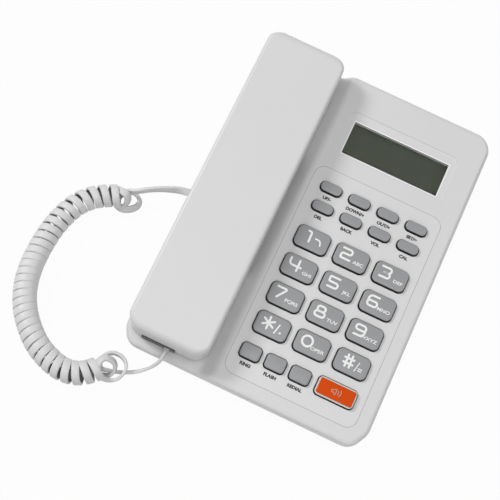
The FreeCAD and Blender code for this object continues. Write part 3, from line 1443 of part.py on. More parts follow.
stations = []
lead_end_way = (base_lead_points[-1] - base_lead_points[-2]).normalize()
coil_start = base_lead_points[-1] + lead_end_way * cord_width
stations.append((coil_start, lead_end_way))
half_turn = math.pi
angle = first_angle
while angle < last_angle - 0.01:
    stations.append((on_coil(angle), way_at(on_coil, angle, 0.02)))
    angle = half_turn * (math.floor(angle / half_turn + 1e-6) + 1)
stations.append((coil_end, coil_end_way))
loop_steps = 7
for number in range(1, loop_steps + 1):
    turned = loop_from + (loop_to - loop_from) * number / loop_steps
    stations.append((on_loop(turned), way_at(on_loop, turned)))
stations[-1] = (loop_end, lead_way)
coil_edges = [Part.LineSegment(base_lead_points[-1], coil_start)]
coil_radii = []
for (start, way_in), (end, way_out) in zip(stations, stations[1:]):
    arcs, radii = biarc(start, way_in, end, way_out)
    coil_edges += arcs
    coil_radii += radii
coil_edges.append(Part.LineSegment(loop_end, handset_lead_points[-1]))

for name, points in (("cord_base_lead", base_lead_points), ("cord_handset_lead", handset_lead_points)):
    edges, radii = bent_path(points)
    print(f"{name}: radii {', '.join(f'{radius:.1f}' for radius in radii)}")
    tube(name, edges, cord_width, 8)
tube("cord_coil", coil_edges, cord_width, coil_sides)
print(f"cord_coil: axis {axis_length:.1f}, least radius {min(coil_radii):.2f}")
print(f"cord_coil: least gap to itself {least_gap(coil_edges, cord_width):.2f}")


# The model is written only when every object of the document came out whole
doc.recompute()
for entry in doc.Objects:
    if "Invalid" in entry.State or "Error" in entry.State:
        raise RuntimeError(f"{entry.Name} failed: {entry.State}")
for node in nodes:
    if node.Shape.isNull() or not node.Shape.isValid():
        raise RuntimeError(f"{node.Label} has no valid shape")
os.makedirs("parts", exist_ok=True)
for node in nodes:
    node.Shape.exportStep(f"parts/{node.Label}.step")
print(f"{len(nodes)} sub-parts")
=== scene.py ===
import json
import math

import bmesh
import bpy
from mathutils import Matrix, Vector

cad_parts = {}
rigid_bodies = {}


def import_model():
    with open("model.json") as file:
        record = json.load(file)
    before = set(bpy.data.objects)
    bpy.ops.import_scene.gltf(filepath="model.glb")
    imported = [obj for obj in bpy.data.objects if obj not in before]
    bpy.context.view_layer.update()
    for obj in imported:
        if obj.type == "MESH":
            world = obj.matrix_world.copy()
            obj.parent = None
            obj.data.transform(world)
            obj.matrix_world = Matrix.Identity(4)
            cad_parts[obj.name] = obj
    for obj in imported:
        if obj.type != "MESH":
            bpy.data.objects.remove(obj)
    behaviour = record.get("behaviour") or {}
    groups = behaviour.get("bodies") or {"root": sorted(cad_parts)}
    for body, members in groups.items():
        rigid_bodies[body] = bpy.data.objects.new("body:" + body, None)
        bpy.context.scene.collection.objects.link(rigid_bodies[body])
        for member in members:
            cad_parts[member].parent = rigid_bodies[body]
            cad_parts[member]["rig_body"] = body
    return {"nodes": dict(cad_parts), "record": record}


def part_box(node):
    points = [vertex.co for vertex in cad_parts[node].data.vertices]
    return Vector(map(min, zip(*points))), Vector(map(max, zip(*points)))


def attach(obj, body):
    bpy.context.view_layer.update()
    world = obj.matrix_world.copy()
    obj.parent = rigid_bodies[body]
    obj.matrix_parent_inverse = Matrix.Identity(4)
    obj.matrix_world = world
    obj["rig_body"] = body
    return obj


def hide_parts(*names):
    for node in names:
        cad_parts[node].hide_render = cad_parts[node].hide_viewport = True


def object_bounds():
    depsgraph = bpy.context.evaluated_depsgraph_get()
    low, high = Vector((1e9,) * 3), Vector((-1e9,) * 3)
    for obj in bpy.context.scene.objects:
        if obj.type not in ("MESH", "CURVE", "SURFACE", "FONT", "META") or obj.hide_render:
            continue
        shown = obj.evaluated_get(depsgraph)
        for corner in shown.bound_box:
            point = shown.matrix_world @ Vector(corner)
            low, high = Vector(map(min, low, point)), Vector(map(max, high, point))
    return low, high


# Corded desk telephone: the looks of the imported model, and a pale studio round it.
# Places are in metres in the frame of the CAD; sizes are written in millimetres, times mm.
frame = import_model()
cad_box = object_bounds()
mm = 0.001

# The top plane of the base: x across, v up the slope, w square to it
slope = math.radians(9)
front_height = 18 * mm
half_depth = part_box("base_lower_housing")[1].y
top_height = front_height + half_depth * math.tan(slope)
top_frame = Matrix.Translation((0, 0, top_height)) @ Matrix.Rotation(slope, 4, "X")
into_top_frame = top_frame.inverted()


def top_box(node):
    """Lowest and highest corner of a CAD node in the frame of the top plane."""
    corners = [into_top_frame @ vertex.co for vertex in frame["nodes"][node].data.vertices]
    low = Vector([min(corner[axis] for corner in corners) for axis in range(3)])
    high = Vector([max(corner[axis] for corner in corners) for axis in range(3)])
    return low, high


def footprint(node, margin=0.0):
    """A CAD node seen on the top plane: its middle, its width and length inside a margin, and its
    lowest and highest w."""
    low, high = top_box(node)
    middle = ((low.x + high.x) / 2, (low.y + high.y) / 2)
    return middle, high.x - low.x - 2 * margin, high.y - low.y - 2 * margin, low.z, high.z


def place_on_top(bm, x, v, w):
    bm.transform(top_frame @ Matrix.Translation((x, v, w)))


def ease(low, high, value):
    """0 up to low and 1 from high on, with a smooth step between."""
    share = min(max((value - low) / (high - low), 0), 1)
    return share * share * (3 - 2 * share)


# Materials. A noise's values lie mostly between noise_low and noise_high
noise_low, noise_high = 0.3, 0.7
tone_change = 0.015


class Nodes:
    """A material's nodes, with short ways to add one and to link two."""

    def __init__(self, name):
        self.material = bpy.data.materials.new(name)
        self.material.use_nodes = True
        self.tree = self.material.node_tree
        self.shader = self.tree.nodes["Principled BSDF"]
        self.places = self.add("ShaderNodeTexCoord").outputs["Object"]

    def add(self, kind, **settings):
        node = self.tree.nodes.new(kind)
        for key, value in settings.items():
            if key in node.inputs:
                node.inputs[key].default_value = value
            else:
                setattr(node, key, value)
        return node

    def link(self, source, target):
        self.tree.links.new(source, target)

    def noise(self, size, detail=2.0):
        """A noise whose features are about size across."""
        node = self.add("ShaderNodeTexNoise", Scale=1 / size, Detail=detail, Roughness=0.5)
        self.link(self.places, node.inputs["Vector"])
        return node.outputs["Fac"]

    def ranged(self, noise, low, high):
        """A noise spread over the range from low to high."""
        node = self.add("ShaderNodeMapRange")
        ends = (("From Min", noise_low), ("From Max", noise_high), ("To Min", low), ("To Max", high))
        for key, value in ends:
            node.inputs[key].default_value = value
        self.link(noise, node.inputs["Value"])
        return node.outputs["Result"]

    def blend(self, share, first, second):
        """A mix of two colours; they and the result have sockets 6, 7 and 2 of the node."""
        node = self.add("ShaderNodeMix", data_type="RGBA")
        self.link(share, node.inputs["Factor"])
        node.inputs[6].default_value = (*first, 1)
        node.inputs[7].default_value = (*second, 1)
        return node.outputs[2]

    def bump(self, height, depth):
        node = self.add("ShaderNodeBump", Distance=depth)
        self.link(height, node.inputs["Height"])
        self.link(node.outputs["Normal"], self.shader.inputs["Normal"])


def grey(level):
    return (level, level, level)


def shade(color, factor):
    return tuple(channel * factor for channel in color)


def moulded(name, color, roughness, grain=0.35 * mm, depth=0.004 * mm, spread=0.05, specular=0.5):
    """Moulded plastic: a fine grain, and slow changes of gloss and tone over the part."""
    nodes = Nodes(name)
    cloud = nodes.noise(35 * mm, 3.0)
    fine = nodes.noise(grain)
    tone = nodes.blend(cloud, shade(color, 1 - tone_change), shade(color, 1 + tone_change))
    nodes.link(tone, nodes.shader.inputs["Base Color"])
    gloss = nodes.ranged(cloud, roughness - spread, roughness + spread)
    nodes.link(gloss, nodes.shader.inputs["Roughness"])
    nodes.shader.inputs["Specular IOR Level"].default_value = specular
    nodes.bump(fine, depth)
    return nodes.material


def clear_plastic(name, color, roughness, ior=1.49):
    """Clear plastic with fine changes of gloss."""
    nodes = Nodes(name)
    nodes.shader.inputs["Base Color"].default_value = (*color, 1)
    nodes.shader.inputs["Transmission Weight"].default_value = 1
    nodes.shader.inputs["IOR"].default_value = ior
    gloss = nodes.ranged(nodes.noise(2 * mm), roughness, roughness * 1.6)
    nodes.link(gloss, nodes.shader.inputs["Roughness"])
    return nodes.material


def metal(name, color, roughness):
    """Plated metal with fine scratches."""
    nodes = Nodes(name)
    scratches = nodes.noise(0.5 * mm, 4.0)
    nodes.shader.inputs["Metallic"].default_value = 1
    nodes.link(nodes.blend(scratches, shade(color, 0.9), color), nodes.shader.inputs["Base Color"])
    gloss = nodes.ranged(scratches, roughness * 0.8, roughness * 1.2)
    nodes.link(gloss, nodes.shader.inputs["Roughness"])
    nodes.bump(scratches, 0.004 * mm)
    return nodes.material


def circuit_board(name):
    """Green solder mask with paler tracks."""
    nodes = Nodes(name)
    tracks = nodes.add("ShaderNodeTexBrick", Scale=1 / (24 * mm))
    tracks.inputs["Color1"].default_value = (0.03, 0.16, 0.07, 1)
    tracks.inputs["Color2"].default_value = (0.035, 0.19, 0.08, 1)
    tracks.inputs["Mortar"].default_value = (0.06, 0.30, 0.13, 1)
    nodes.link(nodes.places, tracks.inputs["Vector"])
    nodes.link(tracks.outputs["Color"], nodes.shader.inputs["Base Color"])
    nodes.shader.inputs["Roughness"].default_value = 0.35
    return nodes.material


housing = moulded("housing_plastic", grey(0.675), 0.42)
panel_plastic = moulded("panel_plastic", grey(0.685), 0.38)
key_plastic = moulded("key_plastic", (0.285, 0.29, 0.30), 0.36, spread=0.04)
# Painted shade: near-black for the keys' skirts and gaps and for the display window's wall, which lie
# in shade.
gap_painted_shade = moulded("gap_painted_shade", (0.014, 0.014, 0.016), 0.6)
rim_plastic = moulded("rim_plastic", (0.6, 0.6, 0.58), 0.4)
# Painted highlight: near-white for the lip round the display window, where its bevelled edge catches
# the light.
window_painted_highlight = moulded("window_painted_highlight", grey(0.86), 0.35)
# Painted shade: a grey line along the gap round the keypad's panel.
seam_painted_shade = moulded("seam_painted_shade", grey(0.3), 0.5)
orange_plastic = moulded("orange_plastic", (0.66, 0.068, 0.001), 0.4, spread=0.03, specular=0.08)
white_ink = moulded("white_ink", (0.86, 0.86, 0.85), 0.5)
black_ink = moulded("black_ink", (0.03, 0.03, 0.032), 0.5)
grey_ink = moulded("grey_ink", (0.55, 0.33, 0.25), 0.5)
cord_plastic = moulded("cord_plastic", grey(0.68), 0.5, grain=0.6 * mm)
# Painted shade: a darker grey for the inner side of the cord's tight turns.
cord_painted_shade = moulded("cord_painted_shade", grey(0.3), 0.6, grain=0.6 * mm)
black_plastic = moulded("black_plastic", (0.03, 0.03, 0.032), 0.45)
inner_plastic = moulded("inner_plastic", (0.66, 0.66, 0.64), 0.5)
silicone = moulded("silicone", (0.5, 0.5, 0.49), 0.6)
rubber = moulded("foot_rubber", grey(0.035), 0.8, grain=0.5 * mm, depth=0.03 * mm)
lcd_face = moulded(
    "lcd_face", (0.038, 0.045, 0.029), 0.4, grain=1.0 * mm, depth=0.001 * mm, specular=0.1,
)
lens_clear = clear_plastic("lens_clear", (0.97, 0.98, 0.97), 0.03, ior=1.25)
plug_clear = clear_plastic("plug_clear", grey(0.9), 0.15)
steel = metal("zinc_steel", (0.55, 0.55, 0.56), 0.35)
black_iron = moulded("black_iron", grey(0.05), 0.5, grain=0.6 * mm, depth=0.02 * mm)
board_green = circuit_board("board_green")

slot_material = {
    "housing": housing,
    "panel": panel_plastic,
    "keycap": key_plastic,
    "orange_cap": orange_plastic,
    "lens": lens_clear,
    "lcd": lcd_face,
    "inner_plastic": inner_plastic,
    "black_plastic": black_plastic,
    "jack_plastic": black_plastic,
    "plug": plug_clear,
    "cord": cord_plastic,
    "steel": steel,
    "iron": black_iron,
    "board": board_green,
    "silicone": silicone,
    "rubber": rubber,
}
slot_of = {entry["node"]: entry["material_slot"] for entry in frame["record"]["subparts"]}
for node, carried in frame["nodes"].items():
    carried.data.materials.clear()
    carried.data.materials.append(slot_material[slot_of[node]])

# Pieces. The inner rings of a form keep least_corner of the radius of its corners
same_point = 0.002 * mm
flat_angle = math.radians(0.5)
edge_angle = math.radians(40)
corner_steps = 6
least_corner = 0.15


def mesh_of(bm, name):
    mesh = bpy.data.meshes.new(name)
    bm.to_mesh(mesh)
    bm.free()
    while mesh.attributes.get("custom_normal"):
        mesh.attributes.remove(mesh.attributes["custom_normal"])
    return mesh


def add_piece(name, bm, node, *materials, replace=True, smooth_angle=35):
    """A piece that rides with a CAD node's body, and stands for the node if it replaces it."""
    mesh = mesh_of(bm, name)
    mesh.shade_smooth()
    mesh.set_sharp_from_angle(angle=math.radians(smooth_angle))
    for material in materials:
        mesh.materials.append(material)
    piece = bpy.data.objects.new(name, mesh)
    bpy.context.scene.collection.objects.link(piece)
    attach(piece, frame["nodes"][node]["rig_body"])
    if replace:
        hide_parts(node)
    return piece


def softened(node, name, edge_radius, material=None, reshape=None):
    """A CAD node with its facets joined, its sharp edges rounded a little, and smooth shading."""
    bm = bmesh.new()
    bm.from_mesh(frame["nodes"][node].data)
    if reshape:
        for vertex in bm.verts:
            vertex.co = reshape(vertex.co)
    bmesh.ops.remove_doubles(bm, verts=bm.verts, dist=same_point)
    bmesh.ops.dissolve_limit(bm, angle_limit=flat_angle, verts=bm.verts, edges=bm.edges)
    piece = add_piece(name, bm, node, material or slot_material[slot_of[node]])
    if edge_radius:
        bevel = piece.modifiers.new("soft_edges", "BEVEL")
        bevel.width = edge_radius
        bevel.segments = 2
        bevel.limit_method = "ANGLE"
        bevel.angle_limit = edge_angle
    flat_faces = piece.modifiers.new("flat_faces", "WEIGHTED_NORMAL")
    flat_faces.keep_sharp = True
    flat_faces.weight = 90


def rounded_ring(width, length, radius):
    """Points of a rectangle with rounded corners, round its middle."""
    points = []
    for corner, (side, end) in enumerate(((1, -1), (1, 1), (-1, 1), (-1, -1))):
        middle = Vector((side * (width / 2 - radius), end * (length / 2 - radius)))
        for step in range(corner_steps + 1):
            angle = math.radians(90 * corner - 90 + 90 * step / corner_steps)
            points.append(middle + radius * Vector((math.cos(angle), math.sin(angle))))
    return points


def bridge(bm, low, high):
    """The faces between two closed rings of points."""
    faces = []
    for index in range(len(low)):
        after = (index + 1) % len(low)
        faces.append(bm.faces.new((low[index], low[after], high[after], high[index])))
    return faces


def ringed(rings, closed=False):
    """Rounded rectangles joined to one sheet, with both ends filled if closed. Each ring is (width,
    length, corner, height, material), and its height may be a function of x and y."""
    bm = bmesh.new()
    loops = []
    for width, length, corner, height, _ in rings:
        loop = []
        for x, y in rounded_ring(width, length, corner):
            loop.append(bm.verts.new((x, y, height(x, y) if callable(height) else height)))
        loops.append(loop)
    for ring, low, high in zip(rings[1:], loops, loops[1:]):
        for face in bridge(bm, low, high):
            face.material_index = ring[-1]
    if closed:
        bm.faces.new(loops[0][::-1]).material_index = rings[0][-1]
        bm.faces.new(loops[-1]).material_index = rings[-1][-1]
    return bm


def domed(height, width, length, crown):
    """A height as a function of x and y that rises by up to crown in the middle."""
    def rise(x, y):
        return height + crown * (1 - (2 * x / width) ** 2) * (1 - (2 * y / length) ** 2)
    return rise


def stacked(width, length, corner, levels, crown=0.0):
    """A closed form of rounded rectangles, each (inset, height, whether it is domed, material)."""
    rings = []
    for inset, height, rises, material in levels:
        radius = max(corner - inset, least_corner * corner)
        height = domed(height, width, length, crown) if rises else height
        rings.append((width - 2 * inset, length - 2 * inset, radius, height, material))
    return ringed(rings, closed=True)


# Keys: a near-black skirt of painted shade that fills the gap round a grey cap with a rounded rim and a
# crowned top
digit_marks = ("1", "2", "3", "4", "5", "6", "7", "8", "9", "star", "0", "hash")
pill_words = {
    "up": "UP/-", "down": "DOWN/+", "out": "OUT/\u00d7", "set": "SET/\u00f7",
    "delete": "DEL", "back": "BACK", "volume": "VOL", "calculate": "CAL",
}
square_words = {"ring": "RING", "flash": "FLASH", "redial": "REDIAL"}
digit_corner = 3.4 * mm
pill_corner = 2.9 * mm
square_corner = 2.4 * mm
flange = 1.0 * mm
key_slack = 0.25 * mm
key_rim = 0.5 * mm
key_crown = 0.25 * mm
key_shift = 0.12 * mm
rim_steps = 4
panel_top = top_box("keypad_panel")[1].z


def rounded_top(start, rim, high, length, inner_rings):
    """The rings of a top at the height high: over its rounded rim, which starts at an inset, and on
    to the middle."""
    levels = []
    for step in range(1, rim_steps + 1):
        angle = math.pi / 2 * step / rim_steps
        inset = start + rim * (1 - math.cos(angle))
        levels.append((inset, high - rim * (1 - math.sin(angle)), step == rim_steps, 0))
    reach = length / 2 - rim - start
    for step in range(1, inner_rings + 1):
        levels.append((start + rim + reach * step / (inner_rings + 1), high, True, 0))
    return levels


def key_levels(skirt, rim, high, length, inner_rings):
    """The rings of a key from its flange to the middle of its top; material 1 is the skirt's, a
    near-black painted shade.
    """
    levels = [
        (-flange, 0, False, 1), (-flange, flange, False, 1), (key_slack, flange, False, 1),
        (key_slack, skirt, False, 1),
    ]
    if skirt < high - rim:
        levels.append((key_slack, high - rim, False, 0))
    return levels + rounded_top(key_slack, rim, high, length, inner_rings)


def add_key(node, corner):
    middle, width, length, low, high = footprint(node, flange)
    rise = high - low - key_crown
    levels = key_levels(rise - key_rim, key_rim, rise, length, 4)
    bm = stacked(width, length, corner, levels, key_crown)
    for vertex in bm.verts:
        if vertex.co.z > 1.01 * flange:
            vertex.co.y += key_shift
    place_on_top(bm, *middle, low)
    add_piece(f"{node}_cap", bm, node, key_plastic, gap_painted_shade, smooth_angle=50)


def add_handsfree_key():
    """The pale rim of the hands-free key and the orange cap in it."""
    rim = 0.35 * mm
    middle, width, length, low, high = footprint("handsfree_key", flange)
    skirt = (panel_top + high - rim) / 2 - low
    bm = stacked(width, length, 2.6 * mm, key_levels(skirt, rim, high - low, length, 1))
    place_on_top(bm, *middle, low)
    add_piece("handsfree_rim", bm, "handsfree_key", rim_plastic, gap_painted_shade, smooth_angle=50)

    rim, crown = 0.3 * mm, 0.2 * mm
    middle, width, length, low, high = footprint("handsfree_cap")
    rise = high - low - crown
    levels = [(0, 0, False, 0), (0, rise - rim, False, 0)] + rounded_top(0, rim, rise, length, 4)
    bm = stacked(width, length, 1.1 * mm, levels, crown)
    place_on_top(bm, *middle, low)
    add_piece("handsfree_top", bm, "handsfree_cap", orange_plastic, smooth_angle=50)


for mark in digit_marks:
    add_key(f"key_{mark}", digit_corner)
for mark in pill_words:
    add_key(f"key_{mark}", pill_corner)
for mark in square_words:
    add_key(f"key_{mark}", square_corner)
add_handsfree_key()

# Print: marks on the keys and words on the panel. Strokes are in millimetres, and cap_share is the
# height of the font's capitals as a share of its size
ink_height = 0.03 * mm
cap_share = 0.729
bend_steps = 8
longest_step = 1.2
digit_stroke = 1.25
letter_height, letter_stretch, letter_weight = 2.0 * mm, 1.25, 0.06 * mm
letters_end, letters_foot = 8.2 * mm, -2.7 * mm
label_height, label_stretch, label_weight = 1.85 * mm, 1.08, 0.17 * mm
label_gap = 3.0 * mm
speaker_stroke = 0.45
small_text = {
    "2": "ABC", "3": "DEF", "4": "GHI", "5": "JKL", "6": "MNO", "7": "PQRS", "8": "TUV", "9": "WXYZ",
    "0": "OPER",
}


def text_mesh(text, height, stretch, weight):
    """A word as a flat mesh, left end and foot at 0, capitals as high as height; and its length."""
    curve = bpy.data.curves.new("word", "FONT")
    curve.body = text
    curve.size = height / cap_share
    curve.offset = weight
    curve.resolution_u = 6
    helper = bpy.data.objects.new("word", curve)
    bpy.context.scene.collection.objects.link(helper)
    mesh = bpy.data.meshes.new_from_object(helper)
    bpy.data.objects.remove(helper)
    bpy.data.curves.remove(curve)
    mesh.transform(Matrix.Diagonal((stretch, 1, 1, 1)))
    left = min(vertex.co.x for vertex in mesh.vertices)
    mesh.transform(Matrix.Translation((-left, 0, 0)))
    return mesh, max(vertex.co.x for vertex in mesh.vertices)


def printed(name, node, ink, words, middle, w, surface=None):
    """One piece of print on a node's top: words are (mesh, x, y) from the middle, and the surface
    is a height over w."""
    bm = bmesh.new()
    for mesh, x, y in words:
        mesh.transform(Matrix.Translation((x, y, 0)))
        bm.from_mesh(mesh)
        bpy.data.meshes.remove(mesh)
    for vertex in bm.verts:
        vertex.co.z = ink_height + (surface(vertex.co.x, vertex.co.y) if surface else 0)
    place_on_top(bm, *middle, w)
    add_piece(name, bm, node, ink, replace=False)


def bent_line(corners, closed):
    """Points of a line through corners (x, y, radius), in millimetres, with its corners rounded."""
    line = []
    for index, (x, y, radius) in enumerate(corners):
        here = Vector((x, y))
        if not radius:
            line.append(here)
            continue
        to_before = (Vector(corners[index - 1][:2]) - here).normalized()
        to_after = (Vector(corners[(index + 1) % len(corners)][:2]) - here).normalized()
        half = to_before.angle(to_after) / 2
        middle = here + (to_before + to_after).normalized() * (radius / math.sin(half))
        spoke = here + to_before * (radius / math.tan(half)) - middle
        turn = (math.pi - 2 * half) * (-1 if to_before.cross(to_after) > 0 else 1)
        for step in range(bend_steps + 1):
            line.append(middle + Matrix.Rotation(turn * step / bend_steps, 2) @ spoke)
    if closed:
        line.append(line[0].copy())
    spread = [line[0]]
    for before, after in zip(line, line[1:]):
        parts = max(1, math.ceil((after - before).length / longest_step))
        spread += [before.lerp(after, part / parts) for part in range(1, parts + 1)]
    return spread


def stroke_mesh(strokes, width):
    """Flat strokes with round ends. A stroke is (corners, closed), in millimetres."""
    bm = bmesh.new()
    for corners, closed in strokes:
        line = bent_line(corners, closed)
        pairs = []
        for index, point in enumerate(line):
            before = line[index - 1] if index else (line[-2] if closed else point)
            after = line[index + 1] if index < len(line) - 1 else (line[1] if closed else point)
            way = (after - before).normalized()
            normal = Vector((-way.y, way.x)) * (width / 2)
            pairs.append([bm.verts.new(((point + side * normal) * mm).to_3d()) for side in (1, -1)])
        for low, high in zip(pairs, pairs[1:]):
            bm.faces.new((low[1], high[1], high[0], low[0]))
        if not closed:
            for first, last in (pairs[-1], reversed(pairs[0])):
                middle = (first.co + last.co) / 2
                tip = []
                for step in range(1, bend_steps):
                    turned = Matrix.Rotation(-math.pi * step / bend_steps, 3, "Z") @ (first.co - middle)
                    tip.append(bm.verts.new(middle + turned))
                bm.faces.new([last] + tip[::-1] + [first])
    bmesh.ops.recalc_face_normals(bm, faces=bm.faces)
    for face in bm.faces:
        if face.normal.z < 0:
            face.normal_flip()
    return mesh_of(bm, "strokes")


def straight(x1, y1, x2, y2):
    return [(x1, y1, 0), (x2, y2, 0)], False


def spoke_end(x, y, reach, angle):
    return x + reach * math.cos(angle), y + reach * math.sin(angle)


def digit_strokes():
    """The strokes of the digits, in millimetres from the middle of a key."""
    left, right, foot, waist, head = -6.4, -0.5, -2.1, 1.0, 4.1
    wide, tight = 1.4, 0.56
    ring = [(*spoke_end(-3.3, 1, 3.1, math.pi * step / 16), 0) for step in range(32)]
    turns = [math.pi / 2 - math.pi * step / 3 for step in range(6)]
    arms = [straight(-2.6, 1, *spoke_end(-2.6, 1, 3.6, turn)) for turn in turns]
    return {
        "1": [([(-3.7, 4.2, 0), (-1.8, 4.0, 0.9), (-1.7, foot, 0)], False)],
        "2": [
            ([(left, head, 0), (right, head, wide), (right, waist, wide), (left, waist, 1.2),
              (left, foot, tight), (right, foot, 0)], False),
        ],
        "3": [
            ([(left, head, 0), (right, head, wide), (right, waist, wide), (-4.5, waist, 0)], False),
            ([(-4.5, waist, 0), (right, waist, wide), (right, foot, wide), (left, foot, 0)], False),
        ],
        "4": [
            ([(left, head, 0), (left, 0.2, 1.8), (0.8, 0.2, 0)], False),
            straight(-1.0, head, -1.0, -2.4),
        ],
        "5": [
            ([(right, head, 0), (left, head, tight), (left, waist, tight), (right, waist, wide),
              (right, foot, wide), (left, foot, 0)], False),
        ],
        "6": [
            ([(right, head, 0), (left, head, 2.2), (left, foot, 1.6), (right, foot, 1.5),
              (right, waist, wide), (left, waist, 0)], False),
        ],
        "7": [([(left, head, 0), (right, head, tight), (-5.0, foot, 0)], False)],
        "8": [
            ([(-5.8, head, wide), (-1.1, head, wide), (-1.1, waist, wide), (-5.8, waist, wide)], True),
            ([(left, waist, wide), (right, waist, wide), (right, foot, wide),
              (left, foot, wide)], True),
        ],
        "9": [
            ([(left, foot, 0), (right, foot, 2.2), (right, head, 1.6), (left, head, 1.5),
              (left, waist, wide), (right, waist, 0)], False),
        ],
        "star": arms,
        "0": [(ring, True)],
        "hash": [straight(x, -2.7, x, 4.3) for x in (-3.6, -1.0)]
        + [straight(-5.1, y, 0.5, y) for y in (-0.65, 2.25)],
    }


# The finer marks beside some of the digits: the width of their strokes, and the strokes
slash = straight(2.5, -3.2, 3.8, 2.4)
fine_strokes = {
    "1": (0.95, [([(1.5, 1.2, 0), (4.6, 1.2, 1.9), (5.3, -1.6, 0)], False)]),
    "star": (0.85, [slash, straight(5.3, -1.9, 5.9, -1.9), straight(5.6, -2.2, 5.6, -1.6)]),
    "hash": (0.6, [slash, straight(4.3, -0.9, 6.4, -0.9), straight(4.3, -2.1, 6.4, -2.1)]),
}


def print_digits():
    strokes = digit_strokes()
    for mark in digit_marks:
        node = f"key_{mark}"
        middle, width, length, _, high = footprint(node, flange)
        words = [(stroke_mesh(strokes[mark], digit_stroke), 0, 0)]
        if mark in fine_strokes:
            fine_width, fine = fine_strokes[mark]
            words.append((stroke_mesh(fine, fine_width), 0, 0))
        if mark in small_text:
            letters, reach = text_mesh(small_text[mark], letter_height, letter_stretch, letter_weight)
            words.append((letters, letters_end - reach, letters_foot))
        surface = domed(0, width, length, key_crown)
        printed(f"print_{mark}", node, white_ink, words, middle, high - key_crown, surface)


def print_labels():
    for mark, word in (pill_words | square_words).items():
        (x, v), _, length, _, _ = footprint(f"key_{mark}", flange)
        foot = v - length / 2 - label_gap - label_height / 2
        mesh, reach = text_mesh(word, label_height, label_stretch, label_weight)
        words = [(mesh, -reach / 2, 0)]
        printed(f"label_{mark}", "keypad_panel", black_ink, words, (x, foot), panel_top)


def print_speaker():
    """A plain loudspeaker with two waves on the hands-free key."""
    horn = [
        (-2.9, -0.7, 0), (-1.7, -0.7, 0), (-0.2, -1.9, 0), (-0.2, 1.9, 0), (-1.7, 0.7, 0),
        (-2.9, 0.7, 0),
    ]
    near_wave = [(1.0, -1.0, 0), (1.4, 0, 0.9), (1.0, 1.0, 0)]
    far_wave = [(2.2, -1.7, 0), (2.9, 0, 1.6), (2.2, 1.7, 0)]
    mesh = stroke_mesh([(horn, True), (near_wave, False), (far_wave, False)], speaker_stroke)
    middle, _, _, _, high = footprint("handsfree_cap")
    printed("print_speaker", "handsfree_key", grey_ink, [(mesh, 0, 0)], middle, high)


print_digits()
print_labels()
print_speaker()

# Housings and handset. The handset's solid has one rounding along its top rim, solid_rim, and its
# crown is an arc from end to end. A point is on that rim if it is off its arc by off_rim at most and
# past its edges by past_rim at most
handset_middle = Vector((-49.4, 0.9)) * mm
handset_half = Vector((24.5, 98.5)) * mm
handset_corner = 9 * mm
handset_crown = 22 * mm
handset_sag = 2.5 * mm
crown_radius = handset_half.y ** 2 / (2 * handset_sag) + handset_sag / 2
solid_rim = 6 * mm
side_rim = 2.2 * mm
front_rim = 4.0 * mm
off_rim = 0.6 * mm
past_rim = 0.2 * mm
lip_reach = 3.0 * mm
lip_start, lip_end = -95 * mm, -99.5 * mm
most_rise = 1.1
tail_start = 1.2 * mm
tail_width, tail_height = 0.35, 0.65
plug_low, plug_high = top_box("cord_handset_plug")
plug_middle = (plug_low + plug_high) / 2
key_travel = 1.3 * mm
mat_gap = 0.05 * mm
pressed_w = top_box("key_5")[0].z - key_travel - mat_gap


def front_lip(point):
    """Draws the top of the base's front wall forward, so that the wall leans in towards the floor."""
    rise = max(point.z, 0) / front_height
    reach = lip_reach * ease(lip_start, lip_end, point.y) * min(rise, most_rise)
    drop = reach * math.tan(slope) * min(rise, 1)
    return Vector((point.x, point.y - reach, point.z - drop))


def slim_tail(point):
    """Draws the tail of the handset's plug in to the size of the flat cord."""
    place = into_top_frame @ point
    if place.y > handset_middle.y - handset_half.y + tail_start:
        return point
    place.x = plug_middle.x + (place.x - plug_middle.x) * tail_width
    place.z = plug_middle.z + (place.z - plug_middle.z) * tail_height
    return top_frame @ place


def crisp_rim(point):
    """Moves a point of the handset's rounded top rim out to a tighter rounding."""
    place = into_top_frame @ point
    flat = place.xy - handset_middle
    past = Vector((abs(flat.x), abs(flat.y))) - handset_half + Vector((handset_corner, handset_corner))
    if past.x > 0 and past.y > 0:
        inset = handset_corner - past.length
        outward = past.normalized()
    else:
        inset = handset_corner - max(past)
        outward = Vector((1, 0)) if past.x > past.y else Vector((0, 1))
    depth = handset_crown - crown_radius + math.sqrt(crown_radius ** 2 - flat.y ** 2) - place.z
    spoke = math.hypot(solid_rim - inset, solid_rim - depth)
    if abs(spoke - solid_rim) > off_rim or max(inset, depth) > solid_rim + past_rim:
        return point
    end_rim = front_rim if flat.y < 0 else solid_rim
    share = 1 - (side_rim + (end_rim - side_rim) * outward.y ** 2) / solid_rim
    outward = Vector((math.copysign(outward.x, flat.x), math.copysign(outward.y, flat.y)))
    moved = outward * max(inset, 0) * share
    moved = top_frame @ Vector((place.x + moved.x, place.y + moved.y, place.z + max(depth, 0) * share))
    moved.z = min(moved.z, cad_box[1].z)
    return moved


def low_dome(point):
    """Lowers a dome of the key mat, so that a pressed key only meets it."""
    place = into_top_frame @ point
    place.z = min(place.z, pressed_w)
    return top_frame @ place


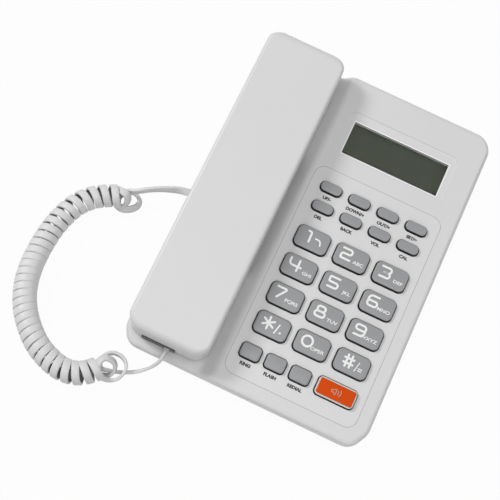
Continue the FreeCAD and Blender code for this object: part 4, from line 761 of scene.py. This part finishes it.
def add_window_surround():
    """The shallow step round the display, the near-white lip of its window as a painted highlight, and
    the window's wall, near-black as painted shade.
    """
    middle, width, length, _, _ = footprint("display_lens")
    outer_width, outer_length = 71 * mm, 33.4 * mm
    slant, wall_slant = 0.4 * mm, 1.6 * mm
    proud = 0.03 * mm

    def sunk(depth, height=proud):
        """A height as a function of x and y that falls by depth from the near end to the far one."""
        return lambda x, y: height - depth * (y / outer_length + 0.5)

    # Material 1 is a painted highlight on the window's lip, and material 2 is painted shade on its
    # wall.
    bm = ringed([
        (outer_width, outer_length, 5 * mm, proud, 0),
        (outer_width - 2.4 * mm, outer_length - 2.4 * mm, 4 * mm, sunk(slant), 0),
        (width + 1.5 * mm, length + 1.5 * mm, 0.6 * mm, sunk(slant), 0),
        (width + 1.4 * mm, length + 1.4 * mm, 0.6 * mm, sunk(slant), 1),
        (width + 0.1 * mm, length + 0.1 * mm, 0.4 * mm, sunk(slant, -0.1 * mm), 1),
        (width + 0.1 * mm, length + 0.1 * mm, 0.4 * mm, sunk(wall_slant, -0.95 * mm), 2),
    ])
    place_on_top(bm, middle[0], middle[1] + 0.35 * mm, 0)
    add_piece(
        "window_surround", bm, "display_lens", housing, window_painted_highlight, gap_painted_shade,
        replace=False, smooth_angle=5,
    )


def add_panel_seam():
    """A thin flat ring over the fine gap round the keypad's panel, its middle line grey as painted
    shade along the gap.
    """
    middle, width, length, _, high = footprint("keypad_panel")
    lines = ((1.3 * mm, 0), (0.45 * mm, 0), (-0.15 * mm, 1), (-0.5 * mm, 0))
    bm = ringed([(width + more, length + more, 6 * mm, 0, material) for more, material in lines])
    place_on_top(bm, *middle, high - 0.02 * mm)
    add_piece("panel_seam", bm, "keypad_panel", housing, seam_painted_shade, replace=False)


def add_notch_painted_shade():
    """A black box behind the notch in the handset's front end: painted shade for the hollow round the
    jack, seen through the notch.
    """
    width, depth, off_middle = 20.4 * mm, 1.4 * mm, -4 * mm
    _, _, _, low, high = footprint("handset_jack")
    bm = bmesh.new()
    bmesh.ops.create_cube(bm, size=1)
    bm.transform(Matrix.Diagonal((width, depth, high - low, 1)))
    front = handset_middle.y - handset_half.y
    place_on_top(bm, handset_middle.x + off_middle, front, (low + high) / 2)
    add_piece("notch_painted_shade", bm, "handset_jack", black_plastic, replace=False)


softened("keymat", "key_mat", 0, reshape=low_dome)
softened("base_upper_housing", "upper_housing", 0.35 * mm, reshape=front_lip)
softened("base_lower_housing", "lower_housing", 0.3 * mm, reshape=front_lip)
softened("handset_outer_shell", "handset_top", 0.3 * mm, reshape=crisp_rim)
softened("handset_inner_shell", "handset_underside", 0.3 * mm)
softened("keypad_panel", "panel", 0.2 * mm)
softened("battery_door", "battery_cover", 0.2 * mm)
softened("display_lens", "lens", 0.15 * mm)
add_window_surround()
add_panel_seam()
softened("rubber_feet", "feet", 0.3 * mm)
softened("cord_handset_plug", "handset_plug", 0, material=cord_plastic, reshape=slim_tail)
add_notch_painted_shade()

# Cord: the two leads, the loose curls at both ends and the tight ones between them, on one line.
# The runs and the middles of the loose curls are in millimetres
cord_width = 4.5 * mm
cord_thickness = 1.9 * mm
cord_edge = 0.55 * mm
base_lead = [
    (-77.5, -2.5, 14.1), (-82.1, -2.9, 14.1), (-88.6, -5.2, 13.7), (-95.2, -8.1, 13.2),
    (-101.5, -11.6, 12.4), (-106.5, -14.6, 10.8),
]
first_curl = [
    (-111.2, -16.2, 8.4), (-115.2, -17.5, 5.2), (-117.2, -20.5, 2.6), (-115.2, -24.6, 2.2),
    (-111.4, -25.6, 3.4), (-109.2, -22.8, 7.2), (-110.2, -20.4, 11.2), (-113.2, -19.8, 12.7),
    (-116.6, -19.4, 12.0),
]
hanging_curl = [
    (-119.0, -18.4, 9.6), (-117.6, -16.0, 6.0), (-113.6, -14.2, 3.4), (-108.2, -13.4, 2.6),
    (-103.9, -15.8, 2.6), (-103.4, -20.6, 2.6), (-107.6, -25.0, 2.6), (-112.8, -26.8, 3.0),
]
coil_axis = [
    (-116.5, -21.8), (-124.3, -25.0), (-135.1, -35.6), (-140.6, -52.9), (-141.6, -70.1),
    (-140.4, -87.5), (-135.2, -103.2), (-125.6, -116.0), (-113.1, -126.2), (-98.5, -131.2),
    (-89.5, -130.6), (-82.5, -127.0), (-77.8, -121.6),
]
last_curl = [
    (-71.8, -122.6, 3.0), (-69.2, -119.5, 5.8), (-69.6, -116.3, 9.2), (-72.5, -114.9, 11.8),
    (-76.6, -115.6, 13.5), (-78.9, -118.9, 13.7), (-78.2, -122.8, 11.8), (-74.9, -125.6, 8.0),
    (-70.6, -125.2, 4.8),
]
wide_curl = [
    (-66.3, -122.7, 3.8), (-63.9, -118.9, 6.4), (-63.8, -114.0, 7.2), (-67.3, -110.2, 7.4),
    (-72.5, -109.2, 7.4), (-76.9, -111.0, 7.2), (-79.1, -114.6, 6.4), (-78.8, -118.4, 4.8),
    (-76.7, -120.3, 3.3),
]
handset_lead = [
    (-73.2, -119.3, 2.4), (-67.4, -117.6, 2.4), (-61.2, -114.8, 2.4), (-56.0, -111.4, 3.4),
    (-52.0, -108.2, 6.4), (-49.0, -105.2, 11.2), (-47.8, -102.3, 15.2), (-47.8, -98.129, 16.069),
]
first_middle = (-112.8, -20.3, 8.2)
hanging_middle = (-111.3, -20.3, -1.0)
last_middle = (-73.0, -120.5, 5.0)
# How far the band leans over at each point of the base's lead, and at most in the other one
lead_lean = (0.9, 0.5, 0.25, 0.15, 0.1, 0.05)
end_lean = 0.45
# The tight turns. They stand wider apart at each end, by a share that fades between two places
curl_radius = 6.2 * mm
axis_height = 7.75 * mm
from_turn = 0.75
to_turn = 32.42
points_per_turn = 12
base_spread, base_fade = 0.34, (0.12, 0.42)
handset_spread, handset_fade = 0.22, (0.6, 1.0)
axis_resolution = 12
cord_resolution = 5
up = Vector((0, 0, 1))


def spline_points(points, resolution):
    """Points read from the smooth line that follows the given points."""
    curve = bpy.data.curves.new("route", "CURVE")
    curve.dimensions = "3D"
    curve.resolution_u = resolution
    spline = curve.splines.new("NURBS")
    spline.points.add(len(points) - 1)
    for entry, point in zip(spline.points, points):
        entry.co = (*point, 1)
    spline.order_u = 3
    spline.use_endpoint_u = True
    helper = bpy.data.objects.new("route", curve)
    bpy.context.scene.collection.objects.link(helper)
    mesh = bpy.data.meshes.new_from_object(helper)
    line = []
    for vertex in mesh.vertices:
        if not line or (vertex.co - line[-1]).length > same_point / 2:
            line.append(vertex.co.copy())
    bpy.data.objects.remove(helper)
    bpy.data.curves.remove(curve)
    bpy.data.meshes.remove(mesh)
    return line


class Line:
    """A line of points, read by the distance along it."""

    def __init__(self, points):
        self.points = points
        self.marks = [0.0]
        for before, after in zip(points, points[1:]):
            self.marks.append(self.marks[-1] + (after - before).length)
        self.length = self.marks[-1]

    def at(self, distance):
        """The point at a distance, and the direction of the line there."""
        index = 0
        while index < len(self.points) - 2 and self.marks[index + 1] < distance:
            index += 1
        before, after = self.points[index], self.points[index + 1]
        share = (distance - self.marks[index]) / (self.marks[index + 1] - self.marks[index])
        return before.lerp(after, share), (after - before).normalized()


def in_metres(points):
    return [Vector(point) * mm for point in points]


def curls():
    """The points of the tight turns, and their outward directions."""
    axis_points = [Vector((x * mm, y * mm, axis_height)) for x, y in coil_axis]
    axis = Line(spline_points(axis_points, axis_resolution))
    steps = round((to_turn - from_turn) * points_per_turn)
    marks = [0.0]
    for step in range(steps):
        share = (step + 0.5) / steps
        near_base = base_spread * (1 - ease(*base_fade, share))
        near_handset = handset_spread * ease(*handset_fade, share)
        marks.append(marks[-1] + 1 + near_base + near_handset)
    points, faces = [], []
    for step, mark in enumerate(marks):
        angle = 2 * math.pi * (from_turn + step / points_per_turn)
        middle, way = axis.at(axis.length * mark / marks[-1])
        side = way.cross(up).normalized()
        outward = up * math.cos(angle) + side * math.sin(angle)
        points.append(middle + outward * curl_radius)
        faces.append(outward)
    return points, faces


def upright(points):
    """Level directions across a run of points, so that the band stands on its edge there."""
    faces = []
    for index in range(len(points)):
        way = points[min(index + 1, len(points) - 1)] - points[max(index - 1, 0)]
        faces.append(Vector((way.y, -way.x, 0)).normalized())
    return faces


def away(points, middle):
    return [(point - Vector(middle) * mm).normalized() for point in points]


def cord_route():
    """The cord's points from the base to the handset, and the way its flat side faces at each."""
    lead = in_metres(base_lead)
    points = lead
    faces = [level * (1 - lean) - up * lean for level, lean in zip(upright(lead), lead_lean)]
    for curl, middle in ((first_curl, first_middle), (hanging_curl, hanging_middle)):
        points = points + in_metres(curl)
        faces += away(in_metres(curl), middle)
    turns, outward = curls()
    points += turns + in_metres(last_curl)
    faces += outward + away(in_metres(last_curl), last_middle)
    end = in_metres(wide_curl + handset_lead)
    end_faces = [(level + up * end_lean * min(level.y, 0)).normalized() for level in upright(end)]
    return points + end, faces + end_faces


def faces_along(faces, count):
    """The directions at the cord's points, spread over count points of its smooth line."""
    spans = len(faces) - 2
    spread = []
    for index in range(count):
        place = spans * index / (count - 1)
        if place < 0.5:
            position = 2 * place
        elif place > spans - 0.5:
            position = len(faces) - 1 - 2 * (spans - place)
        else:
            position = place + 0.5
        first = min(int(position), len(faces) - 2)
        spread.append(faces[first].lerp(faces[first + 1], position - first).normalized())
    return spread


def band(line, faces, width, thickness, edge, painted_shade_span):
    """A flat band with rounded edges along a line, its flat side facing the given directions. Its back
    has material 1, a painted shade, between two shares of the line."""
    section = []
    for corner, (x, y) in enumerate(((1, 1), (-1, 1), (-1, -1), (1, -1))):
        for step in range(3):
            angle = math.pi / 2 * (corner + step / 2)
            middle_x, middle_y = x * (width / 2 - edge), y * (thickness / 2 - edge)
            section.append((middle_x + edge * math.cos(angle), middle_y + edge * math.sin(angle)))
    bm = bmesh.new()
    rings = []
    for index, point in enumerate(line):
        way = (line[min(index + 1, len(line) - 1)] - line[max(index - 1, 0)]).normalized()
        face = (faces[index] - way * faces[index].dot(way)).normalized()
        across = way.cross(face)
        rings.append([bm.verts.new(point + across * x + face * y) for x, y in section])
    heights = [y for _, y in section]
    on_back = [max(pair) < 0 for pair in zip(heights, heights[1:] + heights[:1])]
    for place, (low, high) in enumerate(zip(rings, rings[1:])):
        inside = painted_shade_span[0] < place / len(line) < painted_shade_span[1]
        for side, back in zip(bridge(bm, low, high), on_back):
            side.material_index = int(inside and back)
    bm.faces.new(rings[0][::-1])
    bm.faces.new(rings[-1])
    bmesh.ops.recalc_face_normals(bm, faces=bm.faces)
    return bm


def add_cord():
    points, faces = cord_route()
    line = spline_points(points, cord_resolution)
    # The back of the band along the tight turns gets material 1: painted shade for the inside of the
    # coil.
    start = len(base_lead + first_curl + hanging_curl) / len(points)
    stop = 1 - len(last_curl + wide_curl + handset_lead) / len(points)
    spread = faces_along(faces, len(line))
    bm = band(line, spread, cord_width, cord_thickness, cord_edge, (start, stop))
    piece = add_piece("cord", bm, "cord_coil", cord_plastic, cord_painted_shade, smooth_angle=60)
    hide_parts("cord_coil", "cord_base_lead", "cord_handset_lead")


add_cord()


# Studio: a pale floor, soft light and the camera at the photograph's angle
def background_rays(tree):
    """1 for a ray that shows the background, seen directly, mirrored or through something clear."""
    rays = tree.nodes.new("ShaderNodeLightPath")
    seen = rays.outputs["Is Camera Ray"]
    for kind in ("Is Glossy Ray", "Is Transmission Ray"):
        either = tree.nodes.new("ShaderNodeMath")
        either.operation = "MAXIMUM"
        tree.links.new(seen, either.inputs[0])
        tree.links.new(rays.outputs[kind], either.inputs[1])
        seen = either.outputs[0]
    return seen


def add_floor(color, glow_share):
    """A pale floor whose own shadows show through a white glow."""
    nodes = Nodes("studio_floor")
    nodes.shader.inputs["Base Color"].default_value = (*color, 1)
    nodes.shader.inputs["Roughness"].default_value = 0.9
    glow = nodes.add("ShaderNodeEmission", Strength=1.0)
    glow.inputs["Color"].default_value = (1, 1, 1, 1)
    share = nodes.add("ShaderNodeMath", operation="MULTIPLY")
    share.inputs[1].default_value = glow_share
    nodes.link(background_rays(nodes.tree), share.inputs[0])
    mix = nodes.add("ShaderNodeMixShader")
    nodes.link(share.outputs[0], mix.inputs[0])
    nodes.link(nodes.shader.outputs[0], mix.inputs[1])
    nodes.link(glow.outputs[0], mix.inputs[2])
    nodes.link(mix.outputs[0], nodes.tree.nodes["Material Output"].inputs["Surface"])
    bm = bmesh.new()
    bmesh.ops.create_grid(bm, x_segments=4, y_segments=4, size=3.0)
    mesh = mesh_of(bm, "studio_floor")
    mesh.materials.append(nodes.material)
    floor = bpy.data.objects.new("studio_floor", mesh)
    bpy.context.scene.collection.objects.link(floor)


def add_world(level):
    """A white background that lights the object at a level of its own."""
    world = bpy.data.worlds.new("studio")
    bpy.context.scene.world = world
    world.use_nodes = True
    tree = world.node_tree
    back = tree.nodes["Background"]
    back.inputs["Color"].default_value = (1, 1, 1, 1)
    strength = tree.nodes.new("ShaderNodeMapRange")
    strength.inputs["To Min"].default_value = level
    strength.inputs["To Max"].default_value = 1.0
    tree.links.new(background_rays(tree), strength.inputs["Value"])
    tree.links.new(strength.outputs["Result"], back.inputs["Strength"])


def add_lamp(name, place, size, power):
    """A square lamp that points at the middle of the base."""
    lamp = bpy.data.lights.new(name, "AREA")
    lamp.energy = power
    lamp.shape = "SQUARE"
    lamp.size = size
    holder = bpy.data.objects.new(name, lamp)
    holder.location = place
    holder.rotation_euler = (Vector() - Vector(place)).to_track_quat("-Z", "Y").to_euler()
    bpy.context.scene.collection.objects.link(holder)


def add_camera(place, right, down):
    """The camera that took the photograph, from its place, its right and its down directions."""
    right = Vector(right).normalized()
    down = Vector(down)
    down = (down - right * down.dot(right)).normalized()
    turn = Matrix((right, -down, right.cross(-down))).transposed().to_4x4()
    data = bpy.data.cameras.new("photo_camera")
    data.sensor_width = 36
    data.lens = 72
    data.clip_start = 0.01
    camera = bpy.data.objects.new("photo_camera", data)
    camera.matrix_world = Matrix.Translation(Vector(place) * mm) @ turn
    bpy.context.scene.collection.objects.link(camera)
    bpy.context.scene.camera = camera


add_floor(grey(0.62), 0.96)
add_world(0.3)
add_lamp("key_light", (-1.12, 0.08, 1.05), 0.35, 10.6)
add_lamp("front_light", (0.3, -1.5, 0.9), 1.0, 3.4)
add_lamp("top_light", (0.0, -0.4, 1.5), 0.5, 4.2)
add_lamp("side_light", (0.8, 0.2, 1.2), 0.8, 2.9)
add_camera((-10.75, -249.6, 563.7), (0.9037, 0.4053, 0.1379), (0.4269, -0.8286, -0.3621))
bpy.context.scene.view_settings.view_transform = "Standard"
